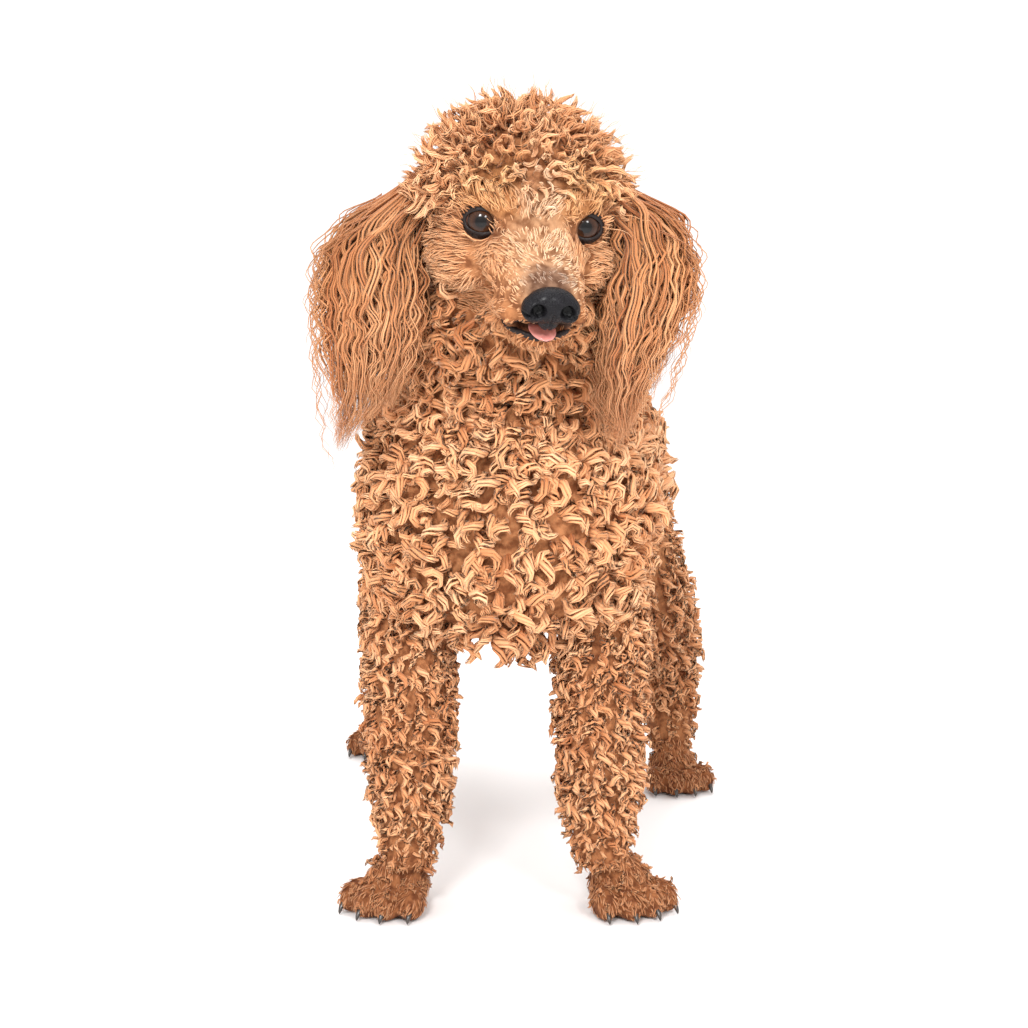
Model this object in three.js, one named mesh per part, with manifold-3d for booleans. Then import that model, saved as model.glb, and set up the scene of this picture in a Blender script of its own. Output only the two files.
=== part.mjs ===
// A poodle in a curly pet clip, standing on all fours with its head turned a little to its left.
// Millimetres, +Z up. The dog faces -Y, so its left side is at +X, and its paws stand on z = 0.
// The solids are the body at half the depth of the coat, with rounded clumps of curls set close over it,
// and wavy locks that hang from the leather of each ear.
import * as THREE from "three";
import { mergeVertices } from "three/addons/utils/BufferGeometryUtils.js";
import Module from "manifold-3d";

const wasm = await Module();
wasm.setup();

// Driving dimensions
const WITHERS = 400; // height of the shoulders under the coat
const GAP = 0.3; // clearance between neighbouring pieces
const CHEST_WIDE = 99; // half width of the chest, at half the coat's depth
const CHEST_TALL = 91; // half height of the chest, at half the coat's depth
const CHEST_HIGH = WITHERS - CHEST_TALL; // height of the middle of the chest
const CAP_POLE = 17; // half angle of the clump at the pole of a cap, in degrees
const CURL_TOP = 0.68; // width of a clump's shoulder, as a share of its foot
const TORSO_CURLS = { around: 11, rows: 7, high: 25, lean: 0.3, seed: 1 };
const NECK_CURLS = { around: 10, rows: 6, high: 25, lean: -0.3, seed: 2 };
const TAIL_CURLS = { around: 5, rows: 5, high: 16, lean: -0.2, seed: 3 };
const FORELEG_CURLS = { around: 5, rows: 7, high: 14, lean: 0.3, seed: 4 };
const HIND_LEG_CURLS = { around: 6, rows: 8, high: 14, lean: 0.3, seed: 6 };
const CROWN_CURLS = { around: 9, rows: 4, high: 27, lean: 0.3, pole: 1, seed: 8 };
const CHEEK_CURLS = { around: 5, rows: 3, high: 8, lean: 0.2, seed: 10 };
const HEAD_AT = new THREE.Vector3(4, -85, 519); // middle of the skull
const HEAD_YAW = 12; // degrees towards the dog's left
const HEAD_PITCH = 25; // degrees, nose down
const HEAD_ROLL = 3; // degrees, left side down
const SKULL = [60, 66, 52]; // half sizes of the skull, at half the coat's depth
const EYE_RADIUS = 12;
const EYE_SIDE = 34; // from the middle of the face to the middle of each eyeball
const FORELEG_SIDE = 70; // from the middle of the body to each foreleg
const PAW_WIDE = 30;
const PAW_LONG = 36;
const PAW_CUT = 35; // height at which the paws part from the legs
const SOLE_DEPTH = 3; // how much of each toe is flattened on the floor
const EAR_SIDE = 60; // from the middle of the head to each ear's root
const EAR_TOP = 541; // height of each ear's root
const LOCK_THICK = 5;
const COATS = {
  apricot: { color: 0xc9864c, roughness: 0.85, metalness: 0 },
  pale: { color: 0xd9a673, roughness: 0.85, metalness: 0 },
  deep: { color: 0xb06c34, roughness: 0.85, metalness: 0 },
  eye: { color: 0x24150d, roughness: 0.08, metalness: 0 },
  nose: { color: 0x141416, roughness: 0.35, metalness: 0 },
  tongue: { color: 0xd98a86, roughness: 0.45, metalness: 0 },
};

// A repeatable random number from 0 to 1.
function randomFrom(seed) {
  let state = seed >>> 0;
  return () => {
    state = (state + 0x6d2b79f5) >>> 0;
    let t = state;
    t = Math.imul(t ^ (t >>> 15), t | 1);
    t ^= t + Math.imul(t ^ (t >>> 7), t | 61);
    return ((t ^ (t >>> 14)) >>> 0) / 4294967296;
  };
}

function vec(x, y, z) {
  return new THREE.Vector3(x, y, z);
}

function mix(a, b, share) {
  return a + (b - a) * share;
}

// The closed three.js geometry as a solid.
function solid(geometry) {
  const bare = geometry.clone();
  for (const name of ["normal", "uv"]) bare.deleteAttribute(name);
  const merged = mergeVertices(bare, 1e-4);
  const mesh = new wasm.Mesh({
    numProp: 3,
    vertProperties: merged.attributes.position.array,
    triVerts: new Uint32Array(merged.index.array),
  });
  return new wasm.Manifold(mesh);
}

// The closed surface through the places as a solid with its faces pointing out.
function outward(places, faces) {
  const geometry = new THREE.BufferGeometry();
  geometry.setAttribute("position", new THREE.Float32BufferAttribute(places, 3));
  geometry.setIndex(faces);
  const made = solid(geometry);
  if (made.volume() > 0) return made;
  geometry.setIndex(faces.reverse());
  return solid(geometry);
}

// The solid as a three.js geometry.
function geometryOf(body) {
  const mesh = body.getMesh();
  const geometry = new THREE.BufferGeometry();
  const places = new THREE.BufferAttribute(Float32Array.from(mesh.vertProperties), 3);
  geometry.setAttribute("position", places);
  geometry.setIndex(new THREE.BufferAttribute(Uint32Array.from(mesh.triVerts), 1));
  geometry.computeVertexNormals();
  return geometry;
}

function join(solids) {
  return wasm.Manifold.union(solids);
}

// The largest closed surface of a solid, which drops loose scraps.
function largest(body) {
  const pieces = body.decompose();
  return pieces.reduce((a, b) => (a.volume() > b.volume() ? a : b));
}

// An ellipsoid from its middle, its three half sizes and a turn in degrees.
function ellipsoid(middle, half, turn = [0, 0, 0], across = 16, along = 10) {
  const shape = new THREE.SphereGeometry(1, across, along);
  const angles = turn.map(THREE.MathUtils.degToRad);
  const spin = new THREE.Quaternion().setFromEuler(new THREE.Euler(...angles));
  shape.applyMatrix4(new THREE.Matrix4().compose(vec(...middle), spin, vec(...half)));
  return solid(shape);
}

// A body part that follows a curve through stations, each [x, y, z, half width, half depth].
class Limb {
  constructor(stations, sideways = vec(1, 0, 0)) {
    this.path = new THREE.CatmullRomCurve3(stations.map((s) => vec(s[0], s[1], s[2])));
    this.sizes = new THREE.CatmullRomCurve3(stations.map((s) => vec(s[3], s[4], 0)));
    this.sideways = sideways;
    this.length = this.path.getLength();
  }

  section(t) {
    const centre = this.path.getPoint(t);
    const along = this.path.getTangent(t);
    const dot = this.sideways.dot(along);
    const side = this.sideways.clone().addScaledVector(along, -dot).normalize();
    const up = side.clone().cross(along).normalize().negate();
    const size = this.sizes.getPoint(t);
    return { centre, along, side, up, wide: size.x, tall: size.y };
  }

  point(t, angle, lift = 0) {
    const s = this.section(t);
    return s.centre
      .addScaledVector(s.side, Math.cos(angle) * (s.wide + lift))
      .addScaledVector(s.up, Math.sin(angle) * (s.tall + lift));
  }

  solid(around = 14, rings = 12, lift = 0) {
    const places = [];
    const faces = [];
    for (let i = 0; i <= rings; i++)
      for (let j = 0; j < around; j++)
        places.push(...this.point(i / rings, (j / around) * 2 * Math.PI, lift).toArray());
    for (let i = 0; i < rings; i++)
      for (let j = 0; j < around; j++) {
        const a = i * around + j;
        const b = i * around + ((j + 1) % around);
        faces.push(a, b, b + around, a, b + around, a + around);
      }
    for (const [ring, flip] of [[0, true], [rings, false]]) {
      const hub = places.length / 3;
      places.push(...this.section(ring / rings).centre.toArray());
      for (let j = 0; j < around; j++) {
        const a = ring * around + j;
        const b = ring * around + ((j + 1) % around);
        faces.push(...(flip ? [b, a, hub] : [a, b, hub]));
      }
    }
    return outward(places, faces);
  }

  curly(curls) {
    const point = (u, v, lift) => this.point(this.path.getUtoTmapping(u), v * 2 * Math.PI, lift);
    return curlyForm(point, curls);
  }
}

// A form with rounded clumps of curls set close over it. point(u, v, lift) gives its surface, with u from
// one end to the other, v once around, and lift the height over the surface. The clumps are six-sided, in
// staggered rows, and share their feet. Each has a shoulder and a top that leans along u. pole is the share
// of the full height at the end where u is 0.
function curlyForm(point, { around, rows, high, lean, pole = 0, seed }) {
  const random = randomFrom(seed);
  const places = [];
  const faces = [];
  const add = (p) => places.push(...p.toArray()) / 3 - 1;
  const feet = [];
  for (let line = 0; line <= rows; line++) {
    const zigzag = line > 0 && line < rows ? 1 / 6 : 0;
    feet.push([]);
    for (let k = 0; k < 2 * around; k++) {
      const u = line + ((k + line) % 2 ? zigzag : -zigzag);
      feet[line].push(add(point(u / rows, k / 2 / around, 0)));
    }
  }
  for (let row = 0; row < rows; row++)
    for (let column = 0; column < around; column++) {
      const first = 2 * column + ((row + 1) % 2);
      const ring = [];
      for (const step of [0, 1, 2]) ring.push([row, first + step, step === 1 ? -1 / 6 : 1 / 6]);
      for (const step of [2, 1, 0]) ring.push([row + 1, first + step, step === 1 ? 1 / 6 : -1 / 6]);
      const tall = high * mix(0.78, 1.12, random());
      const leanOf = lean * mix(0.4, 1.1, random());
      const shift = (random() - 0.5) * 0.16;
      const middleU = row + 0.5;
      const middleV = first / 2 + 0.5 + shift;
      const wide = CURL_TOP * mix(0.92, 1.08, random());
      const shoulder = ring.map(([line, k, zigzag]) => {
        const u = mix(middleU, line + zigzag, wide) + leanOf * 0.25;
        const v = mix(middleV, k / 2, wide);
        return add(point(Math.min(rows, Math.max(0, u)) / rows, v / around, tall * mix(0.7, 0.84, random())));
      });
      const top = add(point((middleU + leanOf * 0.6) / rows, middleV / around, tall));
      for (let i = 0; i < 6; i++) {
        const j = (i + 1) % 6;
        const [a, b] = [i, j].map((n) => feet[ring[n][0]][ring[n][1] % (2 * around)]);
        faces.push(a, b, shoulder[j], a, shoulder[j], shoulder[i], shoulder[i], shoulder[j], top);
      }
    }
  for (const line of [0, rows]) {
    const lift = line ? 0 : pole * high;
    const hub = add(point(line / rows, 0, lift).add(point(line / rows, 0.5, lift)).multiplyScalar(0.5));
    for (let k = 0; k < 2 * around; k++) {
      const [a, b] = [feet[line][k], feet[line][(k + 1) % (2 * around)]];
      faces.push(...(line ? [a, b, hub] : [b, a, hub]));
    }
  }
  return outward(places, faces);
}

// A flat tapered lock that waves along its length, from its root to its tip.
function lock(points, wide, thick, across, waves, wave, phase) {
  const path = new THREE.CatmullRomCurve3(points);
  const rings = 5;
  const places = [];
  const faces = [];
  const corners = 4;
  for (let i = 0; i <= rings; i++) {
    const t = i / rings;
    const along = path.getTangent(t);
    const side = across.clone().addScaledVector(along, -across.dot(along)).normalize();
    const face = along.clone().cross(side);
    const taper = Math.sqrt(Math.max(0, 1 - t ** 2.2)) * mix(0.75, 1, Math.sin(Math.PI * Math.min(0.5, t)));
    const swing = Math.sin(t * waves * 2 * Math.PI + phase) * wave * Math.min(1, t * 3);
    const centre = path.getPoint(t).addScaledVector(side, swing);
    const w = Math.max(0.9, wide * taper);
    const d = Math.max(0.7, thick * taper);
    for (let k = 0; k < corners; k++) {
      const a = (k / corners) * 2 * Math.PI;
      const p = centre.clone().addScaledVector(side, Math.cos(a) * w).addScaledVector(face, Math.sin(a) * d);
      places.push(...p.toArray());
    }
  }
  for (let i = 0; i < rings; i++)
    for (let j = 0; j < corners; j++) {
      const a = i * corners + j;
      const b = i * corners + ((j + 1) % corners);
      faces.push(a, b, b + corners, a, b + corners, a + corners);
    }
  const last = rings * corners;
  faces.push(2, 1, 0, 3, 2, 0, last, last + 1, last + 2, last, last + 2, last + 3);
  return outward(places, faces);
}

// The part of space on the inner side of every plane, each [outward normal, point], grown by a clearance.
function region(planes, grow = 0) {
  let space = solid(new THREE.BoxGeometry(2000, 2000, 2000));
  for (const [normal, point] of planes) {
    const n = normal.clone().normalize();
    space = space.trimByPlane(n.clone().negate().toArray(), -(n.dot(point) + grow));
  }
  return space;
}

// Splits a solid by a region, with the clearance between the two.
function split(body, planes) {
  const inside = largest(body.intersect(region(planes)));
  const outside = largest(body.subtract(region(planes, GAP)));
  return [inside, outside];
}

// The torso, from inside the chest over the loin, and down between the haunches
const torso = new Limb([
  [-5, 0, CHEST_HIGH, CHEST_WIDE - 22, CHEST_TALL - 22],
  [-2, 40, CHEST_HIGH + 1, CHEST_WIDE - 3, CHEST_TALL - 4],
  [2, 90, CHEST_HIGH + 4, CHEST_WIDE, CHEST_TALL],
  [8, 150, CHEST_HIGH + 11, CHEST_WIDE - 2, CHEST_TALL - 8],
  [12, 215, CHEST_HIGH + 18, CHEST_WIDE - 10, CHEST_TALL - 20],
  [14, 268, CHEST_HIGH + 12, CHEST_WIDE - 9, CHEST_TALL - 15],
  [14, 300, CHEST_HIGH - 16, CHEST_WIDE - 22, CHEST_TALL - 26],
  [14, 306, CHEST_HIGH - 50, CHEST_WIDE - 50, CHEST_TALL - 50],
]);

// The neck, with the breast that it rises from, up to the back of the skull
const neck = new Limb([
  [-5, 14, CHEST_HIGH - 90, 44, 34],
  [-5, 8, CHEST_HIGH - 58, 84, 58],
  [-5, 8, CHEST_HIGH - 8, CHEST_WIDE - 3, 64],
  [-5, 16, CHEST_HIGH + 46, CHEST_WIDE - 8, 70],
  [-3, 12, CHEST_HIGH + 84, 78, 66],
  [-1, -12, CHEST_HIGH + 120, 66, 60],
  [2, -44, CHEST_HIGH + 156, 56, 54],
  [4, -72, CHEST_HIGH + 203, 46, 44],
]);

// One foreleg, from the shoulder to the pastern. side is 1 on the dog's left and -1 on its right.
function foreleg(side) {
  const x = side > 0 ? FORELEG_SIDE - 6 : -FORELEG_SIDE - 7;
  return new Limb([
    [x * 0.86, 30, 300, 34, 46],
    [x * 0.96, 26, 240, 31, 38],
    [x, 16, 190, 28, 31],
    [x, 8, 140, 27, 28],
    [x, 4, 95, 25, 26],
    [x, 2, 68, 21, 22],
    [x + side * 2, -2, 46, 18, 19],
    [x + side * 3, -4, 33, 15, 16],
  ]);
}

// One hind leg, from the hip over the stifle and the hock to the paw
function hindLeg(side) {
  const foot = hindFoot(side);
  const hip = side > 0 ? 62 : -38;
  const x = foot[0];
  const y = foot[1];
  return new Limb([
    [hip, 312, 322, 44, 58],
    [mix(hip, x, 0.25), mix(300, y, 0.15), 268, 42, 56],
    [mix(hip, x, 0.55), mix(270, y, 0.4), 212, 34, 42],
    [mix(hip, x, 0.85), y - 4, 156, 25, 31],
    [x, y + 36, 114, 20, 24],
    [x, y + 38, 84, 19, 21],
    [x, y + 26, 52, 19, 20],
    [x, y + 18, 34, 15, 16],
  ]);
}

// Where the hind feet stand: the left one under the stifle, the right one set back.
function hindFoot(side) {
  return side > 0 ? [142, 318] : [-122, 440];
}

// A paw: four toes round a pad, each with a claw, with flats on the floor. toeOut is in degrees.
function paw(x, y, side, toeOut, size) {
  const turn = THREE.MathUtils.degToRad(toeOut * side);
  const place = new THREE.Matrix4().makeRotationZ(turn).setPosition(x, y, 0);
  const put = (p) => vec(...p).applyMatrix4(place).toArray();
  const yaw = toeOut * side;
  const lift = -SOLE_DEPTH;
  const wide = PAW_WIDE * size;
  const long = PAW_LONG * size;
  const parts = [ellipsoid(put([0, 6, 20 + lift]), [wide * 0.84, long * 0.72, 24], [0, 0, yaw], 8, 5)];
  for (let i = 0; i < 4; i++) {
    const across = (i - 1.5) * wide * 0.52;
    const middle = i === 1 || i === 2;
    const ahead = -(middle ? long * 0.62 : long * 0.4);
    const spread = (i - 1.5) * 9;
    const toe = [wide * 0.31, long * 0.5, 15];
    parts.push(ellipsoid(put([across, ahead, 13 + lift]), toe, [8, 0, yaw + spread], 6, 4));
    const claw = new THREE.ConeGeometry(2.4, 13, 4);
    claw.rotateX(THREE.MathUtils.degToRad(118));
    const tip = put([across * 1.18, ahead - long * 0.5, 8 + lift]);
    claw.rotateZ(turn + THREE.MathUtils.degToRad(spread));
    claw.translate(...tip);
    parts.push(solid(claw));
  }
  return join(parts);
}

// The head, in its own frame with the skull's middle at the origin, then turned and set on the neck
function headMatrix() {
  const turn = [HEAD_PITCH, HEAD_ROLL, HEAD_YAW].map(THREE.MathUtils.degToRad);
  const spin = new THREE.Quaternion().setFromEuler(new THREE.Euler(turn[0], turn[1], turn[2], "ZYX"));
  return new THREE.Matrix4().compose(HEAD_AT, spin, vec(1, 1, 1));
}

const headTurn = headMatrix();
const eyePlaces = [1, -1].map((side) => [side * EYE_SIDE, -43, 9]);
const noseAt = [0, -123, -10];
const tongueAt = [0, -112, -33];

// Upper head: skull, face, brows, cheeks, muzzle and upper lips
function headCore() {
  const muzzle = new Limb([
    [0, -20, -7, 50, 36],
    [0, -46, -9, 41, 31],
    [0, -70, -12, 35, 26],
    [0, -94, -14, 31, 22],
    [0, -109, -15, 27, 19],
    [0, -117, -15, 18, 13],
  ]);
  const parts = [
    ellipsoid([0, 2, 6], SKULL, [0, 0, 0], 12, 8),
    ellipsoid([0, -20, -2], [52, 39, 44], [0, 0, 0], 12, 8),
    muzzle.solid(12, 6),
  ];
  for (const side of [1, -1]) {
    parts.push(ellipsoid([side * 25, -48, 25], [19, 12, 9], [20, 0, side * 18], 8, 4));
    parts.push(cheek(side));
    parts.push(ellipsoid([side * 20, -92, -27], [12, 26, 12], [-6, side * 8, side * 8], 8, 4));
  }
  return join(parts);
}

// A rounded rim of lid round each eye, wider than it is high
function lids() {
  return eyePlaces.map((at) => {
    const out = vec(Math.sign(at[0]) * 0.36, -0.92, 0.1).normalize();
    const rim = new THREE.TorusGeometry(EYE_RADIUS - 2, 2.8, 4, 12);
    rim.scale(1.14, 0.92, 1);
    rim.applyQuaternion(new THREE.Quaternion().setFromUnitVectors(vec(0, 0, 1), out));
    rim.translate(...vec(...at).addScaledVector(out, EYE_RADIUS * 0.58).toArray());
    return solid(rim);
  });
}

// The lower jaw with its lip, which stays a little open under the muzzle
function lowerJaw(grow = 0) {
  const jaw = new Limb([
    [0, -30, -41, 27, 15],
    [0, -58, -42, 27, 14],
    [0, -84, -42, 25, 13],
    [0, -102, -41, 21, 11],
    [0, -112, -40, 13, 8],
    [0, -116, -39, 5, 4],
  ]);
  return jaw.solid(10, 6, grow);
}

// The mouth's opening, a thin wedge between the lips
function mouthGap() {
  return ellipsoid([0, -96, -33], [33, 34, 3.4], [-3, 0, 0], 10, 4);
}

function noseBlock(grow = 0) {
  return join([
    ellipsoid(noseAt, [17 + grow, 11 + grow, 12.5 + grow], [14, 0, 0], 10, 6),
    ellipsoid([0, -121, -17], [8 + grow, 9 + grow, 11 + grow], [0, 0, 0], 8, 5),
  ]);
}

function nostrils() {
  return [1, -1].map((side) =>
    ellipsoid([side * 9.4, -132.5, -12], [3.6, 6, 3.4], [0, 0, side * 32], 6, 4),
  );
}

function eyeball(at, grow = 0) {
  const r = EYE_RADIUS + grow;
  return ellipsoid(at, [r, r, r], [0, 0, 0], 12, 8);
}

// How far a direction from the middle of the skull points under an ear, where the coat is flat, from 0 to 1
function underEars(out) {
  const aside = THREE.MathUtils.smoothstep(Math.abs(out.x), 0.62, 0.78);
  return aside * (1 - THREE.MathUtils.smoothstep(out.z, 0.36, 0.56));
}

// A curly cap on an ellipsoid, from its pole to reach degrees away. The pole leans back by tilt degrees.
function curlyCap(middle, half, tilt, reach, curls) {
  const lean = new THREE.Quaternion().setFromAxisAngle(vec(1, 0, 0), THREE.MathUtils.degToRad(-tilt));
  const point = (u, v, lift) => {
    const polar = THREE.MathUtils.degToRad(mix(CAP_POLE, reach, u));
    const out = new THREE.Vector3().setFromSphericalCoords(1, polar, v * 2 * Math.PI);
    out.set(out.x, -out.z, out.y).applyQuaternion(lean);
    const low = lift * (1 - underEars(out));
    return vec(...half.map((size, i) => middle[i] + out.getComponent(i) * (size + low)));
  };
  return curlyForm(point, curls);
}

// Curls over the crown and the back of the head, but not over the face
function crown() {
  return curlyCap([0, 2, 6], SKULL, 36, 104, CROWN_CURLS);
}

// A cheek, covered in short curls
function cheek(side) {
  const form = new Limb([
    [side * 30, -50, -16, 14, 16],
    [side * 36, -38, -20, 22, 24],
    [side * 40, -18, -22, 25, 28],
    [side * 38, 2, -20, 22, 26],
    [side * 34, 14, -18, 12, 14],
  ]);
  return form.curly(CHEEK_CURLS);
}

function placedHead(body) {
  return body.transform(headTurn.elements.slice());
}

// An ear: a cupped flap of leather that hangs from the side of the skull, under wavy locks.
// Front locks hang before the leather, back locks behind it, and side locks over its outer face.
function earLeather(side) {
  const outward = vec(side * 0.75, -0.66, 0);
  const [x, y, z] = [side * EAR_SIDE, -88, EAR_TOP];
  return new Limb(
    [
      [x + side * -6, y + 4, z + 4, 14, 6],
      [x + side * 8, y - 1, z - 2, 22, 6],
      [x + side * 20, y - 4, z - 24, 31, 6],
      [x + side * 28, y - 4, z - 58, 33, 5],
      [x + side * 29, y - 3, z - 88, 25, 5],
      [x + side * 28, y - 2, z - 98, 10, 3],
    ],
    outward,
  );
}

const EAR_LAYERS = [
  { count: 4, across: vec(1, 0, 0), x: [76, 119], y: [-110, -106], long: 172 },
  { count: 2, across: vec(1, 0, 0), x: [92, 117], y: [-66, -62], long: 160 },
  { count: 3, across: vec(0, 1, 0), x: [127, 124], y: [-104, -66], long: 184 },
];

function ear(side) {
  const random = randomFrom(side > 0 ? 71 : 72);
  const leather = earLeather(side);
  const parts = [leather.solid(6, 5)];
  for (const layer of EAR_LAYERS)
    for (let i = 0; i < layer.count; i++) {
      const share = i / (layer.count - 1);
      const x = mix(layer.x[0], layer.x[1], share);
      const y = mix(layer.y[0], layer.y[1], share);
      const out = (x - EAR_SIDE) / 68;
      const long = layer.long * mix(0.88, 1.04, random());
      const top = EAR_TOP - out * 12;
      const points = [
        vec(side * mix(66, x, 0.42), mix(-88, y, 0.5), top),
        vec(side * mix(66, x, 0.9), mix(-88, y, 0.95), top - long * 0.22),
        vec(side * x, y, top - long * 0.48),
        vec(side * (x - 3), y, top - long * 0.76),
        vec(side * (x - 12 * out), y, top - long),
      ];
      const wide = mix(13, 15.5, random());
      parts.push(lock(points, wide, LOCK_THICK, layer.across, 1.5, 4, random() * 6));
    }
  return join(parts);
}

const tail = new Limb([
  [14, 332, 366, 24, 24],
  [14, 352, 396, 18, 18],
  [14, 364, 436, 18, 18],
  [14, 366, 474, 19, 19],
  [14, 360, 500, 15, 15],
  [14, 354, 513, 5, 5],
]);

function tongue(grow = 0) {
  return ellipsoid(tongueAt, [9 + grow, 15 + grow, 2.6 + grow], [-4, 0, 0], 10, 5);
}

const SIDES = { left: 1, right: -1 };
const forelegs = { left: foreleg(1), right: foreleg(-1) };
const hindLegs = { left: hindLeg(1), right: hindLeg(-1) };
function allPaws() {
  return Object.values(SIDES).flatMap((side) => {
    const x = side > 0 ? FORELEG_SIDE + 12 : -FORELEG_SIDE - 20;
    const [hindX, hindY] = hindFoot(side);
    return [paw(x, -2, side, 24, 1), paw(hindX + side * 3, hindY + 4, side, 12, 0.92)];
  });
}

// The solid and its copies moved to one side, which keeps a clearance when it cuts the ear on that side.
function grown(body, side) {
  const moves = [[1, 0], [-1, 0], [0, 1], [0, -1]].map(([y, z]) => [side * 1.4, y * 1.2, z * 1.2]);
  return join(moves.map((move) => body.translate(move.map((v) => v * GAP))));
}

const planes = {
  head: [[vec(0, 0.59, -0.81), vec(0, -55, 478)]],
  neck: [[vec(0, 0.59, -0.81), vec(0, 45, 425)]],
  tail: [[vec(0, -0.35, -0.94), vec(0, 368, 398)]],
  paw: [[vec(0, 0, 1), vec(0, 0, PAW_CUT)]],
  foreleg: (side) => [
    [vec(-side * 0.7, 0, 0.71), vec(side * 28 - 5, 0, 197)],
    [vec(0, 1, 0), vec(0, 64, 0)],
    [vec(-side, 0, 0), vec(-5, 0, 0)],
  ],
  hindLeg: (side) => [
    [vec(-side * 0.76, 0, 0.65), vec(14 + side * 14, 0, 222)],
    [vec(0, -1, 0), vec(0, 205, 0)],
    [vec(-side, 0, 0), vec(14, 0, 0)],
  ],
};

// Splits the whole body into its named parts with thin cuts.
function partsOf(whole) {
  const parts = {};
  let rest = whole;
  [parts.head, rest] = split(rest, planes.head);
  [parts.neck, rest] = split(rest, planes.neck);
  [parts.tail, rest] = split(rest, planes.tail);
  for (const [name, side] of Object.entries(SIDES)) {
    let leg;
    [leg, rest] = split(rest, planes.foreleg(side));
    [parts["forepaw_" + name], parts["foreleg_" + name]] = split(leg, planes.paw);
    [leg, rest] = split(rest, planes.hindLeg(side));
    [parts["hind_paw_" + name], parts["hind_leg_" + name]] = split(leg, planes.paw);
  }
  parts.torso = rest;
  return parts;
}

// The flesh, its curls and its paws as one solid that stands on the floor
function wholeBody() {
  const pieces = [
    torso.curly(TORSO_CURLS),
    neck.curly(NECK_CURLS),
    tail.curly(TAIL_CURLS),
    ...Object.values(forelegs).map((leg, i) => leg.curly({ ...FORELEG_CURLS, seed: FORELEG_CURLS.seed + i })),
    ...Object.values(hindLegs).map((leg, i) => leg.curly({ ...HIND_LEG_CURLS, seed: HIND_LEG_CURLS.seed + i })),
    ...allPaws(),
    placedHead(join([headCore(), ...lids(), crown()])),
  ];
  const floor = [[vec(0, 0, -1), vec(0, 0, 0)]];
  return join(pieces).intersect(region(floor));
}

const dog = new THREE.Group();

function addNode(name, body, coat) {
  const mesh = new THREE.Mesh(geometryOf(body), new THREE.MeshStandardMaterial(COATS[coat]));
  mesh.name = name;
  dog.add(mesh);
}

function buildDog() {
  const parts = partsOf(wholeBody());
  const jawSpace = placedHead(join([lowerJaw(GAP), tongue(GAP), mouthGap()]));
  const noseSpace = placedHead(noseBlock(GAP));
  const sockets = eyePlaces.map((at) => placedHead(eyeball(at, GAP)));
  parts.head = largest(parts.head.subtract(join([jawSpace, noseSpace, ...sockets])));
  parts.neck = largest(parts.neck.subtract(jawSpace));
  for (const [name, body] of Object.entries(parts)) addNode(name, body, name === "head" ? "pale" : "apricot");
  const inside = join([parts.head, parts.neck, parts.torso]);
  for (const [name, side] of Object.entries(SIDES))
    addNode("ear_" + name, largest(ear(side).subtract(grown(inside, side))), "deep");
  addNode("lower_jaw", largest(placedHead(lowerJaw().subtract(tongue(GAP)))), "pale");
  addNode("tongue", placedHead(tongue()), "tongue");
  addNode("nose", placedHead(noseBlock().subtract(join(nostrils()))), "nose");
  addNode("eye_left", placedHead(eyeball(eyePlaces[0])), "eye");
  addNode("eye_right", placedHead(eyeball(eyePlaces[1])), "eye");
}

buildDog();

// The origin is on the floor, under the middle of the whole dog.
const bounds = new THREE.Box3().setFromObject(dog);
const middle = bounds.getCenter(vec(0, 0, 0));
dog.position.set(-middle.x, -middle.y, 0);

export default dog;
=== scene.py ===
"""A standing apricot poodle in a curly clip: its skin, coat, eyes, nose, mouth and claws.

The dog faces -Y and its left side is at +X. Lengths in the tables of stations are millimetres in
the dog's own frame, whose origin is on the floor between the forefeet. What is built is in metres.
"""
import logging
import math
from dataclasses import dataclass, field
from enum import Enum
from typing import Callable

import bpy
import numpy as np
from mathutils import Matrix, Vector, kdtree
from mathutils.bvhtree import BVHTree


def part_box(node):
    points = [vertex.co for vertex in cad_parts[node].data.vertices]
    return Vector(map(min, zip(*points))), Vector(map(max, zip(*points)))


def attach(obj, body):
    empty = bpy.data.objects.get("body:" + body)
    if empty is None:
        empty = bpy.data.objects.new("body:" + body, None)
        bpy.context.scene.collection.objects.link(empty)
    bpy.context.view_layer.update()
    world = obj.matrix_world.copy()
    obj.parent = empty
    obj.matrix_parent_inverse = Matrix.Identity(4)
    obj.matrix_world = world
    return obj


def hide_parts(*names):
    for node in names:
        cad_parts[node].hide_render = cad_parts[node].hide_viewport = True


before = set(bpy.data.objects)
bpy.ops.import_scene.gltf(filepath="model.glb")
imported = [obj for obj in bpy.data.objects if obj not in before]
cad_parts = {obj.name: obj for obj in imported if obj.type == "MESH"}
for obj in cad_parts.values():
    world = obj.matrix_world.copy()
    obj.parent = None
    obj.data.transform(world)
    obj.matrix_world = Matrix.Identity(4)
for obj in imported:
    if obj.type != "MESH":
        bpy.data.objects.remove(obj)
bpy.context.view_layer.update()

Array = np.ndarray
Chance = np.random.Generator
Triple = tuple[float, float, float]
Faces = list[tuple[int, ...]]
Shape = tuple[Array, Faces]
Rule = Callable[[Array], Array]
Piece = bpy.types.Object
Socket = bpy.types.NodeSocket

LOG = logging.getLogger("poodle")
MM = 0.001
TAU = 2 * math.pi
SIGNS = (-1, 1)

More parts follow.
